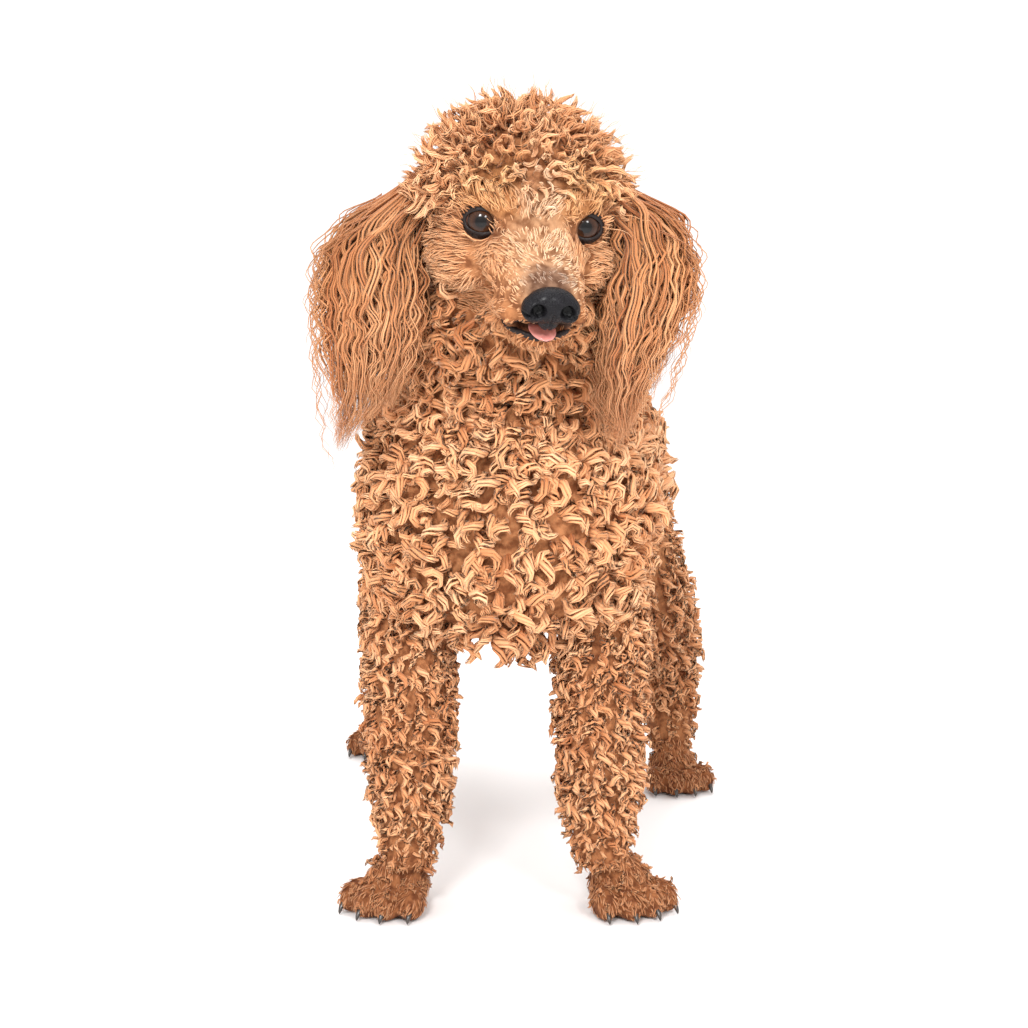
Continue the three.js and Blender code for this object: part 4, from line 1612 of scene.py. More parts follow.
@dataclass
class Crown:
    """The topknot: soft curls standing out all over the skull."""

    style: CurlStyle = CROWN_CURL
    tilt: float = 36.0
    reach: float = 104.0
    stray: float = 0.35
    hairs: int = 260
    brow_gap: float = 27.0
    hair_length: tuple[float, float] = (24.0, 31.0)

    def build(self, rng: Chance) -> Piece:
        """Grows the topknot.

        Args:
            rng: The random numbers.

        Returns:
            The coat piece.
        """
        hair = Hair("crown_locks")
        pole = np.array([0, math.sin(math.radians(self.tilt)), math.cos(math.radians(self.tilt))])
        side = np.array([1.0, 0, 0])
        front = np.cross(side, pole)
        roots, charts = [], []
        gap = self.style.spacing
        polar = gap * 0.3
        middle_radius = float(SKULL.mean())
        row = 0
        while polar < math.radians(self.reach) * middle_radius:
            a = polar / middle_radius
            count = max(3, int(TAU * math.sin(a) * middle_radius / gap))
            off = rng.uniform(-self.stray, self.stray, count)
            turn = (np.arange(count) + 0.5 * (row % 2) + off) / count * TAU
            tip = a + rng.uniform(-self.stray, self.stray, count) * gap / middle_radius
            level = side * np.cos(turn)[:, None] + front * np.sin(turn)[:, None]
            way = pole * np.cos(tip)[:, None] + level * np.sin(tip)[:, None]
            roots.append(way)
            charts.append(np.stack([(turn / TAU) % 1, tip / math.pi], axis=1))
            polar += gap * ROW_STEP
            row += 1
        way = unit(np.vstack(roots))
        chart = np.vstack(charts) * 0.97 + 0.015
        under_ear = (np.abs(way[:, 0]) > 0.60) & (way[:, 2] < -0.35)
        on_face = (way[:, 1] < -0.42) & (way[:, 2] < 0.24)
        to_eyes = np.linalg.norm((SKULL_MIDDLE + way * SKULL)[:, None] - EYES[None], axis=2)
        keep = ~(under_ear | on_face | (to_eyes.min(axis=1) < self.brow_gap))
        way, chart = way[keep], chart[keep]
        local = SKULL_MIDDLE + way * SKULL * 0.98
        normals = unit(way / SKULL)
        ahead = smooth(-0.15, -0.8, way[:, 1]) * smooth(0.95, 0.35, way[:, 2])
        flow = np.array([0, -0.55, 0.25]) + way * [0.9, 0.3, 0.5]
        flow = unit(flow + ahead[:, None] * np.array([0, -0.4, -1.1]))
        beside = smooth(0.55, 0.8, np.abs(way[:, 0])) * smooth(0.35, 0.0, way[:, 2])
        size = 1.0 - 0.45 * ahead + 0.12 * beside
        roots = from_head(local)
        curls(hair, self.style, roots, normals @ HEAD.T, flow @ HEAD.T, chart, rng, size)
        self.fringe(hair, rng)
        return hair.build()

    def fringe(self, hair: Hair, rng: Chance) -> None:
        """Adds single waved hairs that stand out of the topknot.

        Args:
            hair: The coat piece.
            rng: The random numbers.
        """
        count, rows = self.hairs, 12
        way = unit(rng.normal(0, 1, (count, 3)) * [1, 0.8, 1] + [0, -0.05, 0.9])
        way = way[way[:, 2] > 0.1]
        count = len(way)
        roots = SKULL_MIDDLE + way * SKULL
        t = np.linspace(0, 1, rows)[None, :, None]
        side = unit(np.cross(way, rng.normal(0, 1, (count, 3))))
        other = np.cross(way, side)
        phase = rng.uniform(0, TAU, (count, 1, 1))
        length = rng.uniform(*self.hair_length, (count, 1, 1))
        bend = rng.uniform(-7, 7, (count, 1, 1))
        path = (
            roots[:, None]
            + way[:, None] * length * t
            + side[:, None] * (bend * t**2 + 1.6 * np.sin(phase + t * 9) * t)
            + other[:, None] * 1.6 * np.cos(phase + t * 8) * t
        )
        wide = np.repeat(0.75 * (1 - 0.7 * t[..., 0]), count, axis=0)
        face = np.repeat(side[:, None], rows, axis=1)
        turn = (np.arctan2(way[:, 1], way[:, 0]) / TAU) % 1
        chart = np.stack([turn, np.arccos(way[:, 2]) / math.pi], axis=1) * 0.97 + 0.015
        hair.add(from_head(path), face @ HEAD.T, wide, rng.uniform(0.4, 1, count), chart)


@dataclass
class FaceFur:
    """Short fur of the face, growing back from the nose, and the whiskers of the chin."""

    each: float = 4.6
    per_lock: int = 6
    gather: float = 0.62
    clear: float = 10.5
    lid_edge: tuple[float, float] = (12.6, 14.6)
    whisker_count: int = 34

    def weight(self, points: Array, normals: Array) -> Array:
        """How thick the fur is over the head, from 0 to 1.

        Args:
            points: Places in the dog's frame, in millimetres.
            normals: The skin's normals there.

        Returns:
            A number for each place.
        """
        local = to_head(points)
        x, y, z = local[:, 0], local[:, 1], local[:, 2]
        out = smooth(22, 10, y) * (z > -66) * (np.abs(x) < 66)
        up = (local - SKULL_MIDDLE) / SKULL
        out = out * (1 - smooth(0.34, 0.62, unit(up)[:, 2]) * smooth(-66, -50, y))
        for s in SIGNS:
            away = from_eye(local, s)
            out = out * smooth(*self.lid_edge, away)
        out = out * (np.linalg.norm((local - NOSE_AT) / [19, 13, 15], axis=1) > 1)
        groove = np.exp(-(((z - MOUTH_HIGH) / 3.4) ** 2)) * smooth(-46, -60, y)
        out = out * (groove < 0.35)
        leather = smooth(52, 60, np.abs(x)) * smooth(-8, 0, z)
        return out * (1 - leather)

    def flow(self, local: Array) -> Array:
        """Which way the fur lies, in the head's frame.

        Args:
            local: Places in the head's frame, in millimetres.

        Returns:
            One way for each place.
        """
        x, y, z = local[:, 0], local[:, 1], local[:, 2]
        upward = np.where(z > -14, 0.42, -0.5)
        lie = np.stack([np.sign(x) * 0.25 + x / 90, 0.9 + 0 * y, upward], axis=1)
        for s in SIGNS:
            d = local - EYE_PLACE * [s, 1, 1]
            near = np.exp(-((np.linalg.norm(d, axis=1) / 24) ** 2))[:, None]
            lie += unit(d) * near * 1.6
        chin = (smooth(-34, -44, z) * smooth(-60, -90, y))[:, None]
        lie = lie * (1 - chin) + np.array([0, -0.1, -1.0]) * chin
        return lie

    def build(self, skin: Piece, rng: Chance) -> Piece:
        """Grows the face's fur on the skin.

        Args:
            skin: The skin.
            rng: The random numbers.

        Returns:
            The coat piece.
        """
        hair = Hair("face_fur")
        roots, normals = scatter(skin, self.weight, self.each, rng)
        local = to_head(roots)
        out = normals @ HEAD
        count, rows = len(roots), 5
        eddies = np.array([[0.11, 0.05, 0.07], [0.06, -0.10, 0.09], [-0.08, 0.09, 0.10]])
        swirl = 0.6 * np.sin(local @ eddies)
        lie = laid_on(out, self.flow(local) + swirl + rng.normal(0, 0.22, (count, 3)))
        on_nose = smooth(-66, -108, local[:, 1])
        chin = smooth(-36, -44, local[:, 2])
        cheek = smooth(18, 40, np.abs(local[:, 0])) * smooth(-64, -40, local[:, 1])
        length = rng.uniform(8.5, 12.5, count) * (1 - 0.5 * on_nose * (1 - chin))
        length = length * (1 + 0.5 * cheek)
        t = np.linspace(0, 1, rows)[None, :, None]
        rise = (rng.uniform(0.16, 0.36, count) + 0.12 * cheek)[:, None, None]
        side = np.cross(out, lie)
        wave = rng.uniform(0, TAU, (count, 1, 1))
        path = local[:, None] - out[:, None] * 0.8 + length[:, None, None] * (
            lie[:, None] * t
            + out[:, None] * rise * (t - 0.35 * t**2)
            + side[:, None] * 0.09 * np.sin(wave + 5.5 * t) * t
        )
        path += self.gathered(local, path[:, -1])[:, None] * t**1.6
        path = self.clear_of_eyes(path)
        wide = rng.uniform(0.9, 1.4, (count, 1)) * (1 - 0.7 * t[..., 0] ** 1.5)
        face = np.repeat(out[:, None], rows, axis=1)
        chart = self.chart(local)
        tone = np.clip(rng.normal(0.55, 0.17, count) + 0.14 * swirl[:, 0] / 0.6, 0, 1)
        hair.add(from_head(path), face @ HEAD.T, wide, tone, chart, flat=FUR_DEEP)
        self.whiskers(hair, rng)
        return hair.build()

    def gathered(self, roots: Array, tips: Array) -> Array:
        """Draws the tips of neighbouring hairs together into small locks.

        Args:
            roots: The roots of the hairs.
            tips: Their tips.

        Returns:
            How far each tip moves.
        """
        guides = np.arange(0, len(roots), self.per_lock)
        tree = kdtree.KDTree(len(guides))
        for k, i in enumerate(guides):
            tree.insert(roots[i], k)
        tree.balance()
        nearest = guides[[tree.find(root)[1] for root in roots]]
        return (tips[nearest] - tips) * self.gather

    def clear_of_eyes(self, path: Array) -> Array:
        """Keeps hairs off the eyeballs, so that none crosses the lids' opening.

        Args:
            path: The points of the hairs, in the head's frame.

        Returns:
            The points, moved out where they were too near.
        """
        for eye in EYES:
            middle = eye + np.array([0.09 * eye[0], -8.0, 0.0])
            away = path - middle
            far = np.linalg.norm(away, axis=-1, keepdims=True)
            path = middle + away * np.maximum(1.0, self.clear / np.maximum(far, 1.0))
        return path

    def chart(self, local: Array) -> Array:
        """Each root's place on the unwrap of the head, by its turn about the muzzle and its depth.

        Args:
            local: The roots in the head's frame, in millimetres.

        Returns:
            Two numbers from 0 to 1 for each root.
        """
        turn = np.arctan2(local[:, 0], local[:, 2] + 14) / TAU + 0.5
        return np.stack([turn, (local[:, 1] + 130) / 160], axis=1).clip(0.01, 0.99)

    def whiskers(self, hair: Hair, rng: Chance) -> None:
        """Adds a few fine whiskers beside the muzzle and under the chin.

        Args:
            hair: The coat piece.
            rng: The random numbers.
        """
        count, rows = self.whisker_count, 12
        s = np.where(rng.random(count) < 0.5, -1.0, 1.0)
        y = rng.uniform(-112, -78, count)
        z = rng.uniform(-50, -18, count)
        roots = np.stack([s * np.interp(y, [-112, -78], [17, 30]), y, z], axis=1)
        out = s * rng.uniform(0.5, 1, count)
        ahead = rng.uniform(-0.5, 0.3, count)
        way = unit(np.stack([out, ahead, rng.uniform(-0.9, 0.05, count)], axis=1))
        t = np.linspace(0, 1, rows)[None, :, None]
        length = rng.uniform(14, 26, (count, 1, 1))
        droop = np.array([0, 0, -1.0]) * 0.3
        path = roots[:, None] + way[:, None] * length * t + droop * length * t**2
        wide = np.repeat(0.5 * (1 - 0.75 * t[..., 0]), count, axis=0)
        face = np.repeat(np.cross(way, [0.0, 1.0, 0.2])[:, None], rows, axis=1)
        tone = rng.uniform(0.7, 1, count)
        chart = self.chart(roots)
        hair.add(from_head(path), face @ HEAD.T, wide, tone, chart, flat=WHISKER_DEEP)


@dataclass
class PawFur:
    """Short fur of one paw, between and over the toes."""

    name: str
    paw: Paw
    each: float = 9.0
    curl_every: int = 7
    reach: float = 52.0

    def build(self, skin: Piece, rng: Chance) -> Piece:
        """Grows the paw's fur on the skin.

        Args:
            skin: The skin.
            rng: The random numbers.

        Returns:
            The coat piece.
        """
        middle = np.array([self.paw.x, self.paw.y - 6, 0.0])

        def weight(points: Array, normals: Array) -> Array:
            """Says how thick the fur is on this paw, with none under it.

            Args:
                points: Places in millimetres.
                normals: The skin's normals there.

            Returns:
                A number for each place.
            """
            near = np.linalg.norm((points - middle)[:, :2], axis=1) < self.reach
            up = (normals[:, 2] > -0.45) * (points[:, 2] > 1.5)
            return near * smooth(48, 36, points[:, 2]) * up

        roots, normals = scatter(skin, weight, self.each, rng)
        count, rows = len(roots), 5
        a = math.radians(self.paw.heading)
        ahead = np.array([math.sin(a), -math.cos(a), 0])
        lie = ahead * 0.7 + np.array([0, 0, -0.8]) + rng.normal(0, 0.3, (count, 3))
        lie = laid_on(normals, lie)
        length = rng.uniform(5.5, 9.0, count) * (0.55 + 0.45 * smooth(2, 16, roots[:, 2]))
        t = np.linspace(0, 1, rows)[None, :, None]
        path = roots[:, None] - normals[:, None] * 0.6 + length[:, None, None] * (
            lie[:, None] * t + normals[:, None] * 0.42 * (t - 0.5 * t**2)
        )
        path[..., 2] = np.maximum(path[..., 2], FLOOR_GAP)
        wide = rng.uniform(1.1, 1.9, (count, 1)) * (1 - 0.75 * t[..., 0] ** 1.5)
        face = np.repeat(normals[:, None], rows, axis=1)
        off = roots - middle
        turn = np.arctan2(off[:, 0], -off[:, 1]) / TAU + 0.5
        chart = np.stack([turn, roots[:, 2] / 50], axis=1).clip(0.01, 0.99)
        hair = Hair(self.name)
        tone = np.clip(rng.normal(0.5, 0.22, count), 0, 1)
        hair.add(path, face, wide, tone, chart, flat=FUR_DEEP)
        high = np.flatnonzero((roots[:, 2] > 12) & (normals[:, 2] > -0.2))[:: self.curl_every]
        size = 0.42 + 0.2 * smooth(12, 36, roots[high, 2])
        curls(hair, LEG_CURL, roots[high], normals[high], lie[high], chart[high], rng, size)
        return hair.build()


class Wiring:
    """A short way to wire the nodes of one material."""

    def __init__(self, name: str) -> None:
        """Starts a material with its shader and output.

        Args:
            name: The material's name.
        """
        self.material = bpy.data.materials.new(name)
        self.material.use_nodes = True
        self.tree = self.material.node_tree
        self.shader = self.tree.nodes["Principled BSDF"]

    def node(self, kind: str, **settings: object) -> bpy.types.Node:
        """Adds a node.

        Args:
            kind: Its type.
            settings: Its properties, by name.

        Returns:
            The node.
        """
        made = self.tree.nodes.new(kind)
        for key, value in settings.items():
            setattr(made, key, value)
        return made

    def link(self, source: Socket, target: Socket) -> None:
        """Joins two sockets."""
        self.tree.links.new(source, target)

    def set(self, **numbers: float | tuple[float, ...]) -> None:
        """Sets the shader's own numbers, each named like its socket with _ for a space."""
        for name, number in numbers.items():
            self.shader.inputs[name.replace("_", " ")].default_value = number

    def paint(self, colour: Socket) -> None:
        """Makes a colour the shader's own."""
        self.link(colour, self.shader.inputs["Base Color"])

    def attribute(self, name: str) -> Socket:
        """Reads a colour attribute."""
        return self.node("ShaderNodeAttribute", attribute_name=name).outputs["Color"]

    def ramp(self, source: Socket, *stops: tuple[float, Triple]) -> Socket:
        """Maps a number to a colour.

        Args:
            source: The number.
            stops: Places and their colours.

        Returns:
            The colour.
        """
        made = self.node("ShaderNodeValToRGB")
        bar = made.color_ramp
        while len(bar.elements) < len(stops):
            bar.elements.new(0.5)
        for element, (place, colour) in zip(bar.elements, stops):
            element.position = place
            element.color = (*colour, 1)
        self.link(source, made.inputs["Fac"])
        return made.outputs["Color"]

    def mix(self, mode: str, amount: object, first: Socket, second: object) -> Socket:
        """Blends two colours.

        Args:
            mode: How they blend.
            amount: A number or a socket.
            first: The lower colour.
            second: The upper colour, a socket or a value.

        Returns:
            The blend.
        """
        made = self.node("ShaderNodeMix", data_type="RGBA", blend_type=mode)
        for key, value in ((0, amount), (6, first), (7, second)):
            if isinstance(value, Socket):
                self.link(value, made.inputs[key])
            else:
                made.inputs[key].default_value = value
        return made.outputs[2]

    def times(self, first: Socket, second: Socket, amount: float = 1.0) -> Socket:
        """Multiplies two colours, by an amount from 0 to 1."""
        return self.mix("MULTIPLY", amount, first, second)

    def noise(self, scale: float, detail: float, vector: Socket | None = None) -> Socket:
        """Adds a noise, over the object's own coordinates unless a vector is given.

        Args:
            scale: How fine it is.
            detail: How many finer layers it has.
            vector: Where it is read.

        Returns:
            Its height, from 0 to 1.
        """
        made = self.node("ShaderNodeTexNoise")
        made.inputs["Scale"].default_value = scale
        made.inputs["Detail"].default_value = detail
        self.link(self.spot() if vector is None else vector, made.inputs["Vector"])
        return made.outputs["Fac"]

    def spot(self) -> Socket:
        """The object's own coordinates."""
        return self.node("ShaderNodeTexCoord").outputs["Object"]

    def split(self, source: Socket) -> tuple[Socket, ...]:
        """Splits a colour into its three parts.

        Args:
            source: The colour.

        Returns:
            Its three parts.
        """
        made = self.node("ShaderNodeSeparateColor")
        self.link(source, made.inputs["Color"])
        return tuple(made.outputs)

    def bump(self, height: Socket, strength: float, distance: float) -> None:
        """Roughens the shader's surface.

        Args:
            height: The height.
            strength: How strong it is.
            distance: Its depth in metres.
        """
        made = self.node("ShaderNodeBump")
        made.inputs["Strength"].default_value = strength
        made.inputs["Distance"].default_value = distance
        self.link(height, made.inputs["Height"])
        self.link(made.outputs["Normal"], self.shader.inputs["Normal"])

    def scaled(self, vector: Socket, factor: Triple) -> Socket:
        """Stretches a vector.

        Args:
            vector: The vector.
            factor: How much longer each part gets.

        Returns:
            The stretched vector.
        """
        made = self.node("ShaderNodeVectorMath", operation="MULTIPLY")
        self.link(vector, made.inputs[0])
        made.inputs[1].default_value = factor
        return made.outputs[0]


@dataclass(frozen=True)
class CoatFinish:
    """Curled hair: painted shade at the roots between the locks, a painted highlight towards the
    tips on their crests, with fine lines along them.
    """

    name: str
    lines: float = 0.55

    def material(self) -> bpy.types.Material:
        """Makes the coat's material.

        Returns:
            The material.
        """
        w = Wiring(self.name)
        tone, along, _ = w.split(w.attribute("shade"))
        tint = w.attribute("tint")
        by_lock = w.ramp(
            tone, (0.0, (0.70, 0.56, 0.46)), (0.5, (1.0, 1.0, 1.0)), (1.0, (1.09, 1.24, 1.42))
        )
        colour = w.times(tint, by_lock)
        # Painted shade and highlight: each strand darkens towards its root, deep between the locks,
        # and lightens towards its tip.
        root_shade_tip_highlight = w.ramp(
            along, (0.0, (0.44, 0.30, 0.22)), (0.4, (0.88, 0.82, 0.77)), (1.0, (1.06, 1.11, 1.16))
        )
        colour = w.times(colour, root_shade_tip_highlight)
        strand = w.node("ShaderNodeUVMap", uv_map="Strand").outputs[0]
        streak = w.noise(1.0, 1.0, w.scaled(strand, (6.0, 1.1, 1.0)))
        line = w.ramp(
            streak, (0.32, (0.70, 0.62, 0.55)), (0.56, (1.0, 1.0, 1.0)), (0.72, (1.05, 1.10, 1.15))
        )
        w.paint(w.times(colour, line, self.lines))
        w.set(Roughness=0.6, Specular_IOR_Level=0.3)
        w.set(Sheen_Weight=0.25, Sheen_Roughness=0.4, Sheen_Tint=(1.0, 0.82, 0.62, 1))
        w.bump(streak, 0.45, 0.0005)
        return w.material


@dataclass(frozen=True)
class SkinFinish:
    """The skin: an undercoat's mottle, kept dark as painted shade where it shows between the locks,
    and bare dark skin on lids and lips.
    """

    name: str = "skin"
    bare: tuple[float, ...] = (0.014, 0.008, 0.007, 1)

    def material(self) -> bpy.types.Material:
        """Makes the skin's material.

        Returns:
            The material.
        """
        w = Wiring(self.name)
        dark = w.split(w.attribute("shade"))[0]
        tuft = w.noise(150.0, 5.0)
        # Painted shade: the mottle only darkens the tint, for the shade between the locks.
        fur = w.ramp(tuft, (0.38, (0.26, 0.17, 0.12)), (0.60, (0.62, 0.52, 0.45)))
        body = w.times(w.attribute("tint"), fur)
        w.paint(w.mix("MIX", dark, body, self.bare))
        rough = w.ramp(dark, (0.0, (0.85, 0.85, 0.85)), (1.0, (0.42, 0.42, 0.42)))
        w.set(Specular_IOR_Level=0.22)
        w.link(rough, w.shader.inputs["Roughness"])
        w.bump(tuft, 0.8, 0.003)
        return w.material


@dataclass(frozen=True)
class EyeFinish:
    """A wet eye: black pupil, dark brown iris with a darker rim, brownish white."""

    name: str = "eye"
    pupil: Triple = (0.002, 0.001, 0.001)
    fibres: float = 64.0

    def material(self) -> bpy.types.Material:
        """Makes the eye's material, by how far each point is from where the eye looks.

        Returns:
            The material.
        """
        w = Wiring(self.name)
        angle, turn, _ = w.split(w.attribute("shade"))
        colour = w.ramp(
            angle,
            (0.0, self.pupil),
            (0.17, self.pupil),
            (0.21, (0.018, 0.007, 0.004)),
            (0.34, (0.042, 0.016, 0.007)),
            (0.44, (0.022, 0.008, 0.004)),
            (0.49, (0.003, 0.002, 0.002)),
            (0.56, (0.12, 0.06, 0.045)),
            (0.75, (0.24, 0.11, 0.08)),
        )
        ray = w.node("ShaderNodeCombineXYZ")
        w.link(turn, ray.inputs[0])
        grain = w.noise(1.0, 3.0, w.scaled(ray.outputs[0], (self.fibres, 1.0, 1.0)))
        fibre = w.ramp(grain, (0.3, (0.6, 0.55, 0.5)), (0.7, (1.5, 1.45, 1.4)))
        w.paint(w.times(colour, fibre, 0.8))
        w.set(Roughness=0.35, Specular_IOR_Level=0.05, Coat_Weight=0.5, Coat_Roughness=0.05)
        return w.material


@dataclass(frozen=True)
class NoseFinish:
    """Black pebbled leather, damp, with painted shade in the nostrils."""

    name: str = "nose"
    hole: tuple[float, ...] = (0.002, 0.002, 0.002, 1)
    pebbles: float = 820.0

    def material(self) -> bpy.types.Material:
        """Makes the nose's material.

        Returns:
            The material.
        """
        w = Wiring(self.name)
        hollow = w.split(w.attribute("shade"))[0]
        black = w.ramp(
            w.noise(260.0, 2.0), (0.3, (0.004, 0.0035, 0.0045)), (0.7, (0.009, 0.008, 0.010))
        )
        # Painted shade: the dents of the nostrils are coloured darker than the leather, for the
        # dark hollows.
        w.paint(w.mix("MIX", hollow, black, self.hole))
        w.set(Roughness=0.38, Specular_IOR_Level=0.12, Coat_Weight=0.06, Coat_Roughness=0.22)
        pebble = w.node("ShaderNodeTexVoronoi", feature="F1")
        pebble.inputs["Scale"].default_value = self.pebbles
        w.link(w.spot(), pebble.inputs["Vector"])
        height = w.ramp(pebble.outputs["Distance"], (0.0, (1, 1, 1)), (0.8, (0, 0, 0)))
        w.bump(height, 0.75, 0.0005)
        return w.material


@dataclass(frozen=True)
class PlainFinish:
    """A finish of two near shades with a fine grain."""

    name: str
    low: Triple
    high: Triple
    rough: float
    coat: float
    grain: float = 300.0

    def material(self) -> bpy.types.Material:
        """Makes the material.

        Returns:
            The material.
        """
        w = Wiring(self.name)
        w.paint(w.ramp(w.noise(self.grain, 3.0), (0.3, self.low), (0.7, self.high)))
        w.set(Roughness=self.rough, Coat_Weight=self.coat)
        w.bump(w.noise(self.grain * 3, 2.0), 0.3, 0.0005)
        return w.material


def dress(piece: Piece, material: bpy.types.Material, slot: Slot) -> Piece:
    """Gives a piece its material, lets it ride on the body and reports it with its slot.

    Args:
        piece: The piece.
        material: Its material.
        slot: Its slot in the record.

    Returns:
        The same piece.
    """
    piece.data.materials.clear()
    piece.data.materials.append(material)
    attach(piece, "root")
    LOG.info("%s: %d faces, in %s", piece.name, len(piece.data.polygons), slot.value)
    return piece


def half_of(side: Side, parting: float) -> Rule:
    """Makes the rule that tells which points are on one side of a parting.

    Args:
        side: The side.
        parting: Where the parting is, across the dog, in millimetres.

    Returns:
        A function from points in millimetres to whether each is on the side.
    """
    if side is Side.LEFT:
        return lambda points: points[:, 0] >= parting
    return lambda points: points[:, 0] < parting


def neck_half(side: Side, parting: float) -> Rule:
    """Makes the rule for one side of the neck, where points inside the head are left out.

    Args:
        side: The side.
        parting: Where the parting is, across the dog, in millimetres.

    Returns:
        A function from points in millimetres to whether each is clear and on the side.
    """
    on_side = half_of(side, parting)

    def clear(points: Array) -> Array:
        """Whether points are clear of the skull and on the side."""
        local = (to_head(points) - SKULL_MIDDLE) / (SKULL + 2)
        return (np.linalg.norm(local, axis=1) > 1.0) & on_side(points)

    return clear


@dataclass
class Dog:
    """The whole animal, built part by part. Each coat piece has a seed of its own."""

    neck_parting: float = -4.0
    torso_parting: float = 4.0
    chest_reach: float = 0.90
    chest_front: float = 14.0
    chest_full_to: float = 24.0
    neck_seeds: tuple[int, int] = (11, 21)
    torso_seeds: tuple[int, int] = (12, 13)
    tail_seed: int = 14
    foreleg_seeds: tuple[int, int] = (16, 14)
    hind_leg_seeds: tuple[int, int] = (19, 17)
    crown_seed: int = 31
    face_seed: int = 32
    ear_seeds: tuple[int, int] = (33, 34)
    forepaw_seeds: tuple[int, int] = (42, 44)
    hind_paw_seeds: tuple[int, int] = (41, 43)

    def flesh(self) -> Piece:
        """Builds the skin and hides the solids it stands for.

        Returns:
            The skin.
        """
        skin = Skin().build()
        dress(skin, SkinFinish().material(), Slot.SKIN)
        flesh = ["head", "neck", "torso", "tail", "lower_jaw"]
        for part in ("foreleg", "hind_leg", "forepaw", "hind_paw"):
            flesh += [f"{part}_{s.label}" for s in Side]
        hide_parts(*flesh)
        return skin

    def coat(self) -> None:
        """Grows the curls of the body, the neck, the legs and the tail."""
        material = CoatFinish("coat").material()
        around = [NECK, *FORELEGS.values(), *HIND_LEGS.values(), TAIL]
        chest = {
            "reach": self.chest_reach, "front": self.chest_front, "full_to": self.chest_full_to,
        }
        coats = []
        for s, seed in zip(Side, self.neck_seeds):
            name = f"neck_{s.label}_curls"
            keep = neck_half(s, self.neck_parting)
            coats.append(LimbCoat(name, NECK, CHEST_CURL, [TORSO], seed, keep=keep, **chest))
        for s, seed in zip(Side, self.torso_seeds):
            name = f"torso_{s.label}_curls"
            keep = half_of(s, self.torso_parting)
            coats.append(LimbCoat(name, TORSO, BODY_CURL, around, seed, keep=keep))
        coats.append(LimbCoat("tail_curls", TAIL, TAIL_CURL, [TORSO], self.tail_seed, drop=0.0))
        for s, fore, hind in zip(Side, self.foreleg_seeds, self.hind_leg_seeds):
            name = f"foreleg_{s.label}_curls"
            coats.append(LimbCoat(name, FORELEGS[s], LEG_CURL, [TORSO, NECK], fore))
            name = f"hind_leg_{s.label}_curls"
            coats.append(LimbCoat(name, HIND_LEGS[s], HIND_CURL, [TORSO], hind))
        for coat in coats:
            dress(coat.build(), material, Slot.COAT)

    def head(self, skin: Piece) -> None:
        """Builds the topknot, the ears, the face's fur, the eyes, the nose and the tongue.

        Args:
            skin: The skin.
        """
        crown = Crown().build(np.random.default_rng(self.crown_seed))
        dress(crown, CoatFinish("crown_coat").material(), Slot.PALE)
        face = FaceFur().build(skin, np.random.default_rng(self.face_seed))
        dress(face, CoatFinish("face_coat", lines=0.25).material(), Slot.PALE)
        eye = EyeFinish().material()
        ear = CoatFinish("ear_coat", lines=0.7).material()
        for s, seed in zip(Side, self.ear_seeds):
            locks = dress(Ear(s).build(np.random.default_rng(seed)), ear, Slot.DEEP)
            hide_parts(f"ear_{s.label}")
            eyeball = dress(Eye(s).build(), eye, Slot.EYE)
            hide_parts(f"eye_{s.label}")
        nose = dress(Nose().build(), NoseFinish().material(), Slot.NOSE)
        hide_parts("nose")
        pink = PlainFinish("tongue", (0.52, 0.17, 0.15), (0.62, 0.24, 0.20), 0.38, coat=0.3)
        tongue = dress(Mouth().tongue(), pink.material(), Slot.TONGUE)
        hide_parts("tongue")

    def feet(self, skin: Piece) -> None:
        """Builds the fur and the claws of the four paws.

        Args:
            skin: The skin.
        """
        coat = CoatFinish("paw_coat").material()
        horn = PlainFinish("claw", (0.020, 0.015, 0.013), (0.050, 0.036, 0.028), 0.32, coat=0.2)
        claw = horn.material()
        for s, fore, hind in zip(Side, self.forepaw_seeds, self.hind_paw_seeds):
            paws = (("forepaw", Paw.fore(s), fore), ("hind_paw", Paw.hind(s), hind))
            for label, paw, seed in paws:
                rng = np.random.default_rng(seed)
                fur = PawFur(f"{label}_{s.label}_fur", paw).build(skin, rng)
                dress(fur, coat, Slot.DEEP)
                points, faces = joined(paw.claws())
                claws = mesh_object(f"{label}_{s.label}_claws", placed(points), faces)
                dress(claws, claw, Slot.CLAW)


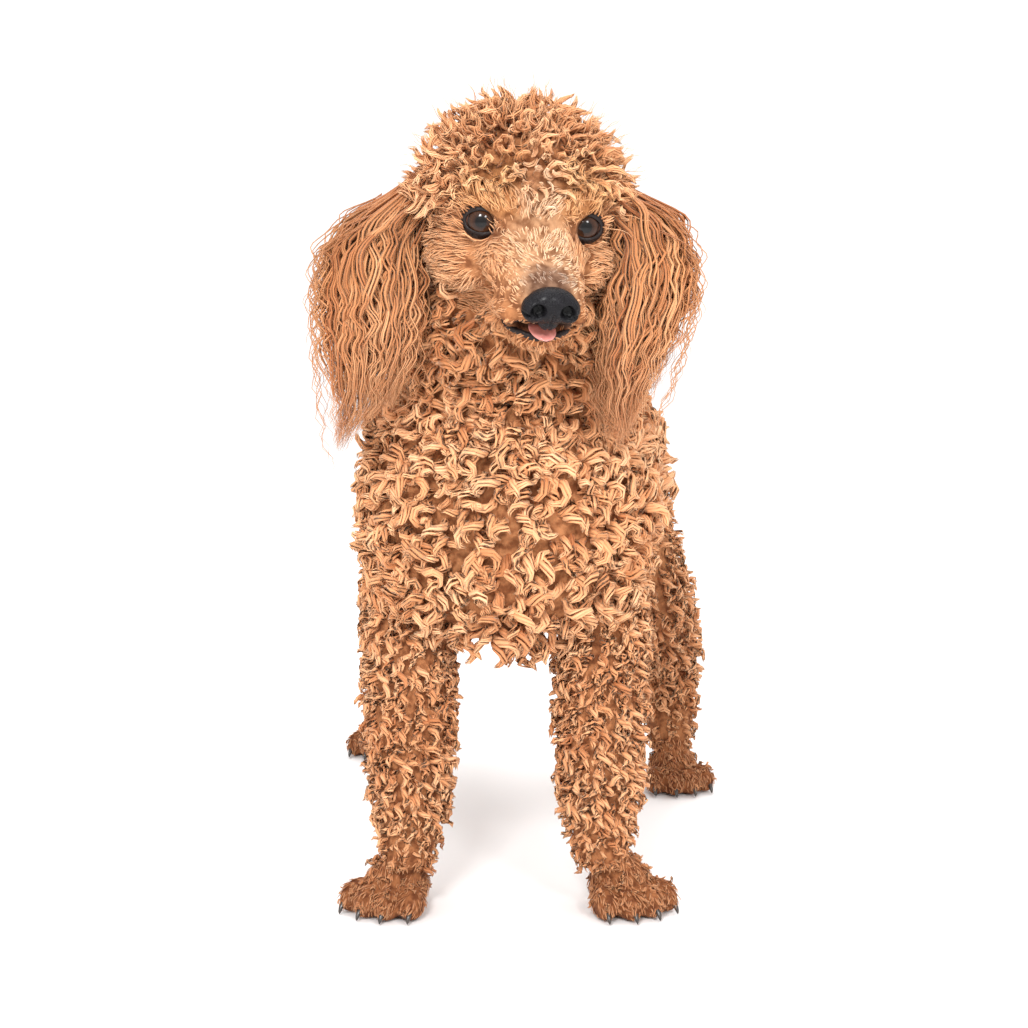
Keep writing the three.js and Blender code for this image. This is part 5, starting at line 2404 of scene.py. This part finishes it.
@dataclass
class Studio:
    """A white floor, soft lights and the camera."""

    floor_half: float = 6.0
    key: float = 34.0
    fill: float = 14.0
    top: float = 26.0
    sky: float = 1.15
    aim: Triple = (0.0, 0.0, 0.4)

    def light(self, name: str, place: Triple, size: float, watts: float) -> None:
        """Hangs a square soft light that faces the dog.

        Args:
            name: Its name.
            place: Where it hangs, in metres.
            size: Its side, in metres.
            watts: Its power.
        """
        data = bpy.data.lights.new(name, "AREA")
        data.shape = "SQUARE"
        data.size = size
        data.energy = watts
        lamp = bpy.data.objects.new(name, data)
        lamp.location = place
        way = Vector(self.aim) - Vector(place)
        lamp.rotation_euler = way.to_track_quat("-Z", "Y").to_euler()
        bpy.context.scene.collection.objects.link(lamp)

    def build(self) -> None:
        """Lays the floor, hangs the lights and sets the camera."""
        h = self.floor_half
        corners = np.array([[-h, -h, 0], [h, -h, 0], [h, h, 0], [-h, h, 0]])
        floor = mesh_object("floor", corners, [(0, 1, 2, 3)])
        w = Wiring("floor")
        w.set(Base_Color=(0.93, 0.925, 0.92, 1), Roughness=0.9)
        floor.data.materials.append(w.material)
        self.light("key", (-0.35, -1.95, 1.45), 0.42, self.key)
        self.light("fill", (0.75, -1.9, 1.25), 0.34, self.fill)
        self.light("top", (0.1, 0.3, 2.3), 1.8, self.top)
        world = bpy.data.worlds.new("white")
        world.use_nodes = True
        sky = world.node_tree.nodes["Background"]
        sky.inputs["Color"].default_value = (1, 1, 1, 1)
        sky.inputs["Strength"].default_value = self.sky
        scene = bpy.context.scene
        scene.world = world
        scene.view_settings.view_transform = "Standard"
        data = bpy.data.cameras.new("camera")
        data.sensor_width = SENSOR
        data.lens = SENSOR * FOCAL_PIXELS / PHOTO_PIXELS
        camera = bpy.data.objects.new("camera", data)
        camera.location = placed(np.array(CAMERA_AT))
        camera.rotation_euler = (math.radians(90 - CAMERA_DOWN), 0, 0)
        scene.collection.objects.link(camera)
        scene.camera = camera


def main() -> None:
    """Builds the dog from the skin out, and the studio round it."""
    logging.basicConfig(level=logging.INFO, format="%(name)s: %(message)s")
    dog = Dog()
    skin = dog.flesh()
    dog.coat()
    dog.head(skin)
    dog.feet(skin)
    Studio().build()


if __name__ == "__main__":
    main()
